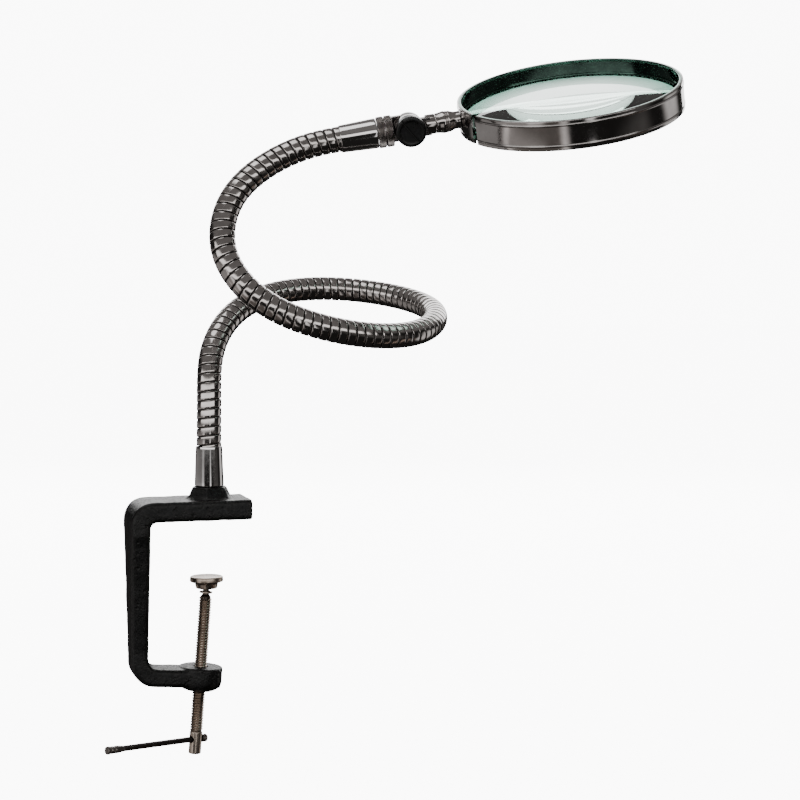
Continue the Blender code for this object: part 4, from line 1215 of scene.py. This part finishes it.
def make_casting():
    """The C-shaped frame with its boss and seat, blended together as one rough casting."""
    arm_top = -(THROAT - TABLE_THICKNESS - BALL_DEPTH) / math.cos(LOWER_ARM_DROOP) - 0.0007
    boss_low = arm_top - BOSS_DEPTH
    boss_profile = [
        (0, boss_low),
        (BOSS_RADIUS * 0.55, boss_low + 0.0002, 0.001),
        (BOSS_RADIUS * 0.88, boss_low + 0.0016, 0.002),
        (BOSS_RADIUS, boss_low + 0.0040, 0.0015),
        (BOSS_RADIUS, arm_top, 0.0012),
        (0, arm_top),
    ]
    boss = cleaned(lathe("boss", boss_profile, 72), SCREW_PLACE)
    seat = cleaned(skinned("seat", seat_rings()))
    bore = lathe("bore", rod_points(SCREW_BORE, boss_low - 0.004, arm_top + 0.004, 0.0), 48)
    bore = cleaned(bore, SCREW_PLACE)
    frame_mesh = cleaned(skinned("clamp", casting_sections()))
    solid = carved(frame_mesh, ("UNION", boss), ("UNION", seat), ("DIFFERENCE", bore))
    obj = link_object("casting", solid)
    remesh = obj.modifiers.new("remesh", "REMESH")
    remesh.mode = "VOXEL"
    remesh.voxel_size = CASTING_VOXEL
    soften = obj.modifiers.new("soften", "SMOOTH")
    soften.factor = 0.5
    soften.iterations = 3
    mesh = applied(obj)
    roughened(mesh, 0.00016, 0.00005)
    cleaned(mesh, smooth_angle=80)
    add_piece("clamp_casting", mesh, CAST_MAT, "clamp", "cast", "clamp_frame")


make_casting()

# ---------------------------------------------------------------- clamp screw, pad and bar


def make_clamp_screw():
    """The screw with its ball end and cross hole, and its thread wound on the core."""
    low = -SCREW_LENGTH
    thread_low = low + SCREW_PLAIN_LENGTH
    ball = [
        (BALL_RADIUS * math.cos(a), BALL_RADIUS * math.sin(a))
        for a in np.linspace(math.pi / 2, -math.radians(42), 14)
    ]
    ball[0] = (0.0, BALL_RADIUS)
    shank = [
        (0.0016, -0.0026),
        (0.0016, -0.0052, 0.0003),
        (SCREW_CORE, SCREW_SHOULDER + 0.0002),
        (SCREW_CORE, thread_low + 0.0006),
        (SCREW_CREST - 0.0001, thread_low, 0.0002),
        (SCREW_CREST - 0.0001, low + 0.0003, 0.0004),
        (SCREW_CREST - 0.0007, low, 0.0002),
        (0, low),
    ]
    body = cleaned(lathe("screw", ball + rounded(shank), 64))
    hole = cleaned(lathe("hole", rod_points(BAR_HOLE_RADIUS, -0.006, 0.006, 0.0), 32), BAR_PLACE)
    hole.transform(SCREW_PLACE.inverted())
    core = carved(body, ("DIFFERENCE", hole))
    core.transform(SCREW_PLACE)
    cleaned(core, smooth_angle=35)
    # painted shade: the core between the thread turns gets a low band value, which the screw material darkens
    band = core.attributes.new("band", "FLOAT", "POINT")
    upright = SCREW_PLACE.inverted()
    root = SCREW_CORE + 0.0001
    level = [0.15 if (upright @ v.co).xy.length < root else 1.0 for v in core.vertices]
    band.data.foreach_set("value", level)
    add_piece("clamp_screw_core", core, SCREW_MAT, "screw", "steel", "clamp_screw")
    turns = (SCREW_SHOULDER - thread_low) / THREAD_PITCH
    ends = (thread_low, SCREW_SHOULDER + 0.002)
    route = route_object("thread_route", [SCREW_PLACE @ Vector((0, 0, z)) for z in ends])
    thread = WOUND_STRIP.grown(
        Route=route,
        Material=SCREW_MAT,
        Steps=int(turns * THREAD_STEPS_A_TURN),
        First_turn=0.3,
        Last_turn=turns - 0.3,
        Along_shift=0.0,
        Pitch=THREAD_PITCH,
        Radius=SCREW_CREST,
        Half_width=THREAD_PITCH * 0.49,
        Half_thickness=THREAD_HALF_THICKNESS,
        Squareness=1.15,
        Section_points=8,
    )
    bpy.data.objects.remove(route, do_unlink=True)
    add_piece("clamp_screw_thread", cleaned(thread, smooth_angle=50), SCREW_MAT, "screw", "steel")


def make_pad():
    """The pad on the ball end, and the loose ring below it."""
    face = BALL_DEPTH
    socket = BALL_RADIUS + 0.0007
    profile = [
        (0, face),
        (PAD_RADIUS - 0.0002, face, 0.0006),
        (PAD_RADIUS, face - 0.0024, 0.0005),
        (0.0056, face - 0.0032, 0.0006),
        (0.0050, face - PAD_THICKNESS, 0.0004),
        (socket + 0.0006, face - PAD_THICKNESS, 0.0002),
        (socket + 0.0001, face - 0.0020, 0.0003),
        (0.0018, face - 0.0009, 0.0002),
        (0, face - 0.0009),
    ]
    mesh = cleaned(lathe("pad", profile, 72), Matrix.Translation(BALL))
    add_piece("pressure_pad_disc", mesh, PLAIN_STEEL, "pad", "steel", "pressure_pad")
    ring = [
        (RING_INNER_RADIUS, RING_LOW, 0.0002),
        (RING_OUTER_RADIUS, RING_LOW, 0.0002),
        (RING_OUTER_RADIUS, RING_HIGH, 0.0002),
        (RING_INNER_RADIUS, RING_HIGH, 0.0002),
    ]
    mesh = cleaned(lathe("ring", ring, 48, closed=True), SCREW_PLACE)
    add_piece("pad_ring", mesh, PLAIN_STEEL, "screw_carrier", "steel", "pad_retaining_ring")


def make_bar():
    """The sliding cross bar, with a turned grip on its long end and a stop on its short end."""
    low = -BAR_LONG_END + GRIP_LENGTH + GAP
    high = BAR_SHORT_END - STOP_LENGTH - GAP
    mesh = cleaned(lathe("bar", rod_points(BAR_RADIUS, low, high, 0.0002), 40), BAR_PLACE)
    add_piece("tommy_bar_rod", mesh, BAR_MAT, "bar", "steel", "tommy_bar")
    tip = -BAR_LONG_END
    ridge, groove = GRIP_RADIUS, GRIP_RADIUS - 0.00045
    grip = [
        (0, tip),
        (ridge, tip, 0.0004),
        (ridge, tip + 0.0015, 0.0003),
        (groove, tip + 0.0019, 0.0003),
        (ridge - 0.0001, tip + 0.0026, 0.0003),
        (ridge - 0.0001, tip + 0.0034, 0.0003),
        (groove, tip + 0.0040, 0.0003),
        (ridge - 0.0001, tip + 0.0047, 0.0003),
        (ridge - 0.0001, tip + 0.0058, 0.0005),
        (BAR_RADIUS, tip + GRIP_LENGTH),
        (0, tip + GRIP_LENGTH),
    ]
    mesh = cleaned(lathe("grip", grip, 48), BAR_PLACE)
    add_piece("bar_grip_end", mesh, GRIP_MAT, "bar", "steel", "bar_grip")
    base = BAR_SHORT_END - STOP_LENGTH
    stop = [
        (0, base),
        (ridge, base, 0.0004),
        (ridge, base + 0.0010, 0.0002),
        (groove, base + 0.0013, 0.0002),
        (ridge, base + 0.0017, 0.0002),
        (ridge, BAR_SHORT_END, 0.0004),
        (0, BAR_SHORT_END),
    ]
    mesh = cleaned(lathe("stop", stop, 48), BAR_PLACE)
    add_piece("bar_stop_end", mesh, GRIP_MAT, "bar", "steel", "bar_stop")


make_clamp_screw()
make_pad()
make_bar()

# ---------------------------------------------------------------- ferrules and winding


def make_ferrule(name, length, place, mat, body, node):
    """A thin tapered sleeve, rounded at its wide end, with a rolled lip round its mouth."""
    profile = [
        (FERRULE_FLOOR_BORE, 0.0, 0.0002),
        (FERRULE_WIDE_RADIUS, 0.0, 0.0005),
        (FERRULE_WIDE_RADIUS, 0.0016, 0.0008),
        (FERRULE_NARROW_RADIUS, length - 0.0008, 0.0005),
        (FERRULE_NARROW_RADIUS - 0.0001, length, 0.0003),
        (FERRULE_BORE_RADIUS, length, 0.0001),
        (FERRULE_BORE_RADIUS, FERRULE_FLOOR, 0.0002),
        (FERRULE_FLOOR_BORE, FERRULE_FLOOR, 0.0002),
    ]
    mesh = cleaned(lathe(name, profile, 96, closed=True), place)
    add_piece(name, mesh, mat, body, "chrome", node)


def make_winding():
    """The gooseneck's wound strip, cut into lengths that each span one joint."""
    first = neck_point(0.0)
    last = neck_point(NECK_LENGTH)
    points = [first - Vector(UP) * WINDING_LEAD]
    points += [Vector(p) for p in NECK_LINE]
    points += [last + ARM * WINDING_LEAD]
    route = route_object("neck_route", points)
    joints = np.linspace(FIXED_TAIL, NECK_LENGTH - FIXED_TAIL, JOINT_COUNT)
    cuts = [0.0, *((joints[1:] + joints[:-1]) / 2), NECK_LENGTH]
    for i in range(JOINT_COUNT):
        start = cuts[i] - (NECK_HIDDEN if i == 0 else 0.0)
        end = cuts[i + 1] + (NECK_HIDDEN if i == JOINT_COUNT - 1 else 0.0)
        turns = (end - start) / NECK_PITCH
        first_turn = (start + WINDING_LEAD) / NECK_PITCH
        stretch = {
            "Route": route,
            "Pitch": NECK_PITCH,
            "First_turn": first_turn,
            "Last_turn": first_turn + turns,
        }
        strip = WOUND_STRIP.grown(
            Material=WINDING_MAT,
            Steps=int(turns * STRIP_STEPS_A_TURN),
            Along_shift=0.0,
            Radius=NECK_RADIUS,
            Half_width=NECK_PITCH * 0.5 * STRIP_FILL,
            Half_thickness=STRIP_HALF_THICKNESS,
            Squareness=6.0,
            Section_points=18,
            **stretch,
        )
        # the inner wire lies behind the gaps of the outer strip; its near-black colour is painted shade in
        # those gaps
        wire = WOUND_STRIP.grown(
            Material=WIRE_SHADE_MAT,
            Steps=int(turns * WIRE_STEPS_A_TURN),
            Along_shift=NECK_PITCH / 2,
            Radius=INNER_WIRE_RADIUS,
            Half_width=NECK_PITCH * 0.53,
            Half_thickness=WIRE_HALF_THICKNESS,
            Squareness=2.4,
            Section_points=8,
            **stretch,
        )
        mesh = joined(strip, wire)
        piece = link_object(f"winding_{i + 1:02d}", cleaned(mesh, smooth_angle=60))
        nodes = [f"neck_link_{i + 1:02d}"]
        if i == JOINT_COUNT - 1:
            nodes.append(f"neck_link_{JOINT_COUNT + 1:02d}")
        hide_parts(*nodes)
        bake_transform(piece)
    bpy.data.objects.remove(route, do_unlink=True)


make_ferrule(
    "lower_ferrule_sleeve", FERRULE_LENGTH, LOWER_FERRULE_PLACE, LOWER_CHROME, "clamp", "lower_ferrule"
)
make_ferrule(
    "upper_ferrule_sleeve",
    UPPER_FERRULE_LENGTH,
    UPPER_FERRULE_PLACE,
    UPPER_CHROME,
    "arm_end",
    "upper_ferrule",
)
make_winding()

# ---------------------------------------------------------------- swivel, tilt joint and knob


def eye_disc(sign):
    """A round eye plate on the knob axis: sign +1 on the knob's side, -1 behind."""
    inner, outer = sorted((sign * EYE_INNER_FACE, sign * EYE_OUTER_FACE))
    disc = lathe("eye", rod_points(EYE_RADIUS, inner, outer, 0.0004), 72)
    return cleaned(disc, Matrix.Rotation(-math.pi / 2, 4, "X"))


def pin_hole():
    """The hole for the pin of the knob, through both eyes."""
    hole = lathe("pin_hole", rod_points(PIN_HOLE_RADIUS, -0.012, 0.012, 0.0), 40)
    return cleaned(hole, Matrix.Rotation(-math.pi / 2, 4, "X"))


def make_collar():
    """The swivelling collar: two knurled bands, a plain groove between, and the rear eye."""
    low = UPPER_FERRULE_LENGTH + GAP - PIVOT_DISTANCE
    high = -EYE_CLEARANCE
    bore = SPIGOT_RADIUS + GAP
    bore_end = low + SPIGOT_LENGTH + GAP
    root = COLLAR_RADIUS - 0.0003
    profile = [
        (0, bore_end),
        (bore, bore_end),
        (bore, low, 0.0002),
        (root, low, 0.0003),
        (root, low + COLLAR_BAND, 0.0002),
        (COLLAR_GROOVE_RADIUS, low + COLLAR_BAND + 0.0003, 0.0003),
        (COLLAR_GROOVE_RADIUS, high - COLLAR_BAND - 0.0003, 0.0003),
        (root, high - COLLAR_BAND, 0.0002),
        (root, high, 0.0005),
        (0, high),
    ]
    body = cleaned(lathe("collar", profile, 96))
    half = COLLAR_TONGUE_WIDTH / 2
    tongue = box_mesh(
        (-half, -EYE_OUTER_FACE, high - TONGUE_ROOT), (half, -EYE_INNER_FACE, -TONGUE_REACH)
    )
    steps = (("UNION", tongue), ("UNION", eye_disc(-1)), ("DIFFERENCE", pin_hole()))
    mesh = cleaned(carved(body, *steps), HEAD_PLACE, smooth_angle=35)
    add_piece("swivel_collar_body", mesh, HEAD_MAT, "collar", "nickel", "swivel_collar")
    width = TAU * COLLAR_RADIUS / KNURL_COUNT
    for name, start in (("knurl_near_ferrule", low), ("knurl_near_knob", high - COLLAR_BAND)):
        studs = KNURLED_BAND.grown(
            Material=KNURL_MAT,
            Count=KNURL_COUNT,
            Rows=7,
            Radius=root + 0.0001,
            Low=start + 0.0005,
            High=start + COLLAR_BAND - 0.0005,
            Point_width=width * 1.05,
            Point_height=0.0005,
        )
        mesh = cleaned(studs, HEAD_PLACE, smooth_angle=20)
        add_piece(name, mesh, KNURL_MAT, "collar", "nickel")


def make_stem():
    """The front eye with its round stem, and the turned neck soldered to the rim."""
    shaft = [
        (0, EYE_CLEARANCE),
        (STEM_RADIUS, EYE_CLEARANCE, 0.0004),
        (STEM_RADIUS, STEM_END, 0.0003),
        (0, STEM_END),
    ]
    half = STEM_TONGUE_WIDTH / 2
    tongue = box_mesh(
        (-half, EYE_INNER_FACE, TONGUE_REACH), (half, EYE_OUTER_FACE, EYE_CLEARANCE + TONGUE_ROOT)
    )
    steps = (("UNION", tongue), ("UNION", eye_disc(1)), ("DIFFERENCE", pin_hole()))
    body = cleaned(lathe("stem", shaft, 80))
    mesh = cleaned(carved(body, *steps), HEAD_PLACE, smooth_angle=35)
    add_piece("lens_stem_shaft", mesh, HEAD_MAT, "head", "nickel", "lens_stem")
    start = STEM_END + GAP
    end = RIM_CENTRE - RIM_RADIUS - 0.0002
    bulb = NECK_BULB_RADIUS
    profile = [
        (0, start),
        (STEM_RADIUS, start, 0.0003),
        (STEM_RADIUS, start + 0.0012, 0.0006),
        (bulb, start + 0.0034, 0.0004),
        (bulb, start + 0.0043, 0.0002),
        (bulb - 0.00045, start + 0.0046, 0.0002),
        (bulb, start + 0.0049, 0.0002),
        (bulb, start + 0.0052, 0.0002),
        (bulb - 0.00045, start + 0.0055, 0.0002),
        (bulb - 0.0001, start + 0.0059, 0.0003),
        (0.0039, end - 0.0022, 0.0012),
        (0.0041, end, 0.0001),
        (0, end),
    ]
    mesh = cleaned(lathe("turned_neck", profile, 80), HEAD_PLACE)
    add_piece("rim_neck", mesh, HEAD_MAT, "head", "nickel", "turned_neck")


def make_knob():
    """The slotted knob, with a faintly dished face, and its washer."""
    low = EYE_OUTER_FACE + GAP
    high = low + WASHER_THICKNESS
    washer = [
        (PIN_HOLE_RADIUS, low, 0.0001),
        (WASHER_RADIUS, low, 0.0001),
        (WASHER_RADIUS, high, 0.0001),
        (PIN_HOLE_RADIUS, high, 0.0001),
    ]
    mesh = cleaned(lathe("washer", washer, 64, closed=True), KNOB_PLACE)
    add_piece("knob_washer_ring", mesh, INNER_STEEL, "collar", "steel", "knob_washer")
    knob_low = high + GAP
    knob_high = knob_low + KNOB_THICKNESS
    recess = KNOB_RECESS_RADIUS
    dished = knob_high - KNOB_DISH
    body = [
        (0, knob_high - KNOB_RECESS_ROOF),
        (recess, knob_high - KNOB_RECESS_ROOF),
        (recess, knob_low, 0.0002),
        (KNOB_RADIUS, knob_low, 0.0006),
        (KNOB_RADIUS, knob_high - 0.0003, 0.0009),
        (KNOB_RADIUS * 0.80, knob_high, 0.0006),
        (KNOB_RADIUS * 0.70, dished, 0.0006),
        (0, dished),
    ]
    knob = cleaned(lathe("knob", body, 112))
    half = KNOB_SLOT_WIDTH / 2
    slot = box_mesh((-0.01, -half, knob_high - KNOB_SLOT_DEPTH), (0.01, half, knob_high + 0.001))
    slot.transform(Matrix.Rotation(-KNOB_SLOT_TURN, 4, "Z"))
    mesh = cleaned(carved(knob, ("DIFFERENCE", slot)), KNOB_PLACE, smooth_angle=35)
    add_piece("slotted_knob", mesh, KNOB_MAT, "knob", "plastic", "tilt_knob")


make_collar()
make_stem()
make_knob()

# ---------------------------------------------------------------- rim and lens


def make_rim():
    """The split band with two rolled lines outside and the lens seat inside."""
    outside, top = RIM_RADIUS, RIM_HEIGHT
    inside = RIM_RADIUS - RIM_WALL
    seat = RIM_RADIUS - RIM_SEAT_REACH
    bead = outside + RIM_BEAD_HEIGHT
    lip = inside - RIM_LIP
    profile = [(inside, 0.0, 0.0003), (outside, 0.0, 0.0004)]
    for middle in (RIM_BEAD, top - RIM_BEAD):
        profile += [
            (outside, middle - 0.0005, 0.0002),
            (bead, middle - 0.0002, 0.0002),
            (bead, middle + 0.0002, 0.0002),
            (outside, middle + 0.0005, 0.0002),
        ]
    profile += [
        (outside, top, 0.0004),
        (lip, top, 0.0003),
        (lip, top - RIM_LIP, 0.0002),
        (inside, top - 0.0012, 0.0002),
        (inside, RIM_SEAT_DEPTH, 0.0001),
        (seat, RIM_SEAT_DEPTH, 0.0001),
        (seat, RIM_SEAT_DEPTH - 0.0012, 0.0002),
        (inside, RIM_SEAT_DEPTH - 0.0018, 0.0003),
    ]
    slit = SPLIT_WIDTH / RIM_RADIUS
    mesh = split_lathe("rim", profile, 300, slit, math.pi + SPLIT_TURN)
    add_piece("lens_rim", cleaned(mesh, LENS_PLACE, 40), RIM_MAT, "head", "chrome", "rim_band")


def make_lens():
    """The lens, bulging alike on both faces, and the split ring that holds it down."""
    low = RIM_SEAT_DEPTH + GAP
    high = low + LENS_EDGE
    ball = (LENS_RADIUS**2 + LENS_SAG**2) / (2 * LENS_SAG)
    upper = []
    for r in np.linspace(0.0, LENS_RADIUS - 0.0003, 40):
        upper.append((float(r), high + LENS_SAG - ball + math.sqrt(ball**2 - r**2)))
    lower = [(r, low + high - z) for r, z in upper]
    profile = lower + [(LENS_RADIUS, low + 0.0003), (LENS_RADIUS, high - 0.0003)] + upper[::-1]
    mesh = cleaned(lathe("lens", profile, 192), LENS_PLACE, 30)
    add_piece("round_lens", mesh, GLASS_MAT, "head", "glass", "lens")
    ring_low = high + 0.0005
    ring_high = ring_low + SNAP_RING_WIRE
    outer = RIM_RADIUS - RIM_WALL - GAP
    inner = outer - SNAP_RING_WIRE
    ring = [
        (inner, ring_low, 0.0002),
        (outer, ring_low, 0.0002),
        (outer, ring_high, 0.0002),
        (inner, ring_high, 0.0002),
    ]
    mesh = split_lathe("snap_ring", ring, 200, SNAP_RING_GAP, 0.0)
    add_piece("snap_ring", cleaned(mesh, LENS_PLACE), RIM_MAT, "head", "steel", "lens_snap_ring")


make_rim()
make_lens()

# the pieces that stay hidden inside keep their CAD shape
for node in ("lower_stud", "swivel_spigot", "friction_washer", "tilt_pin"):
    for holder in frame["nodes"][node].material_slots:
        holder.material = INNER_STEEL
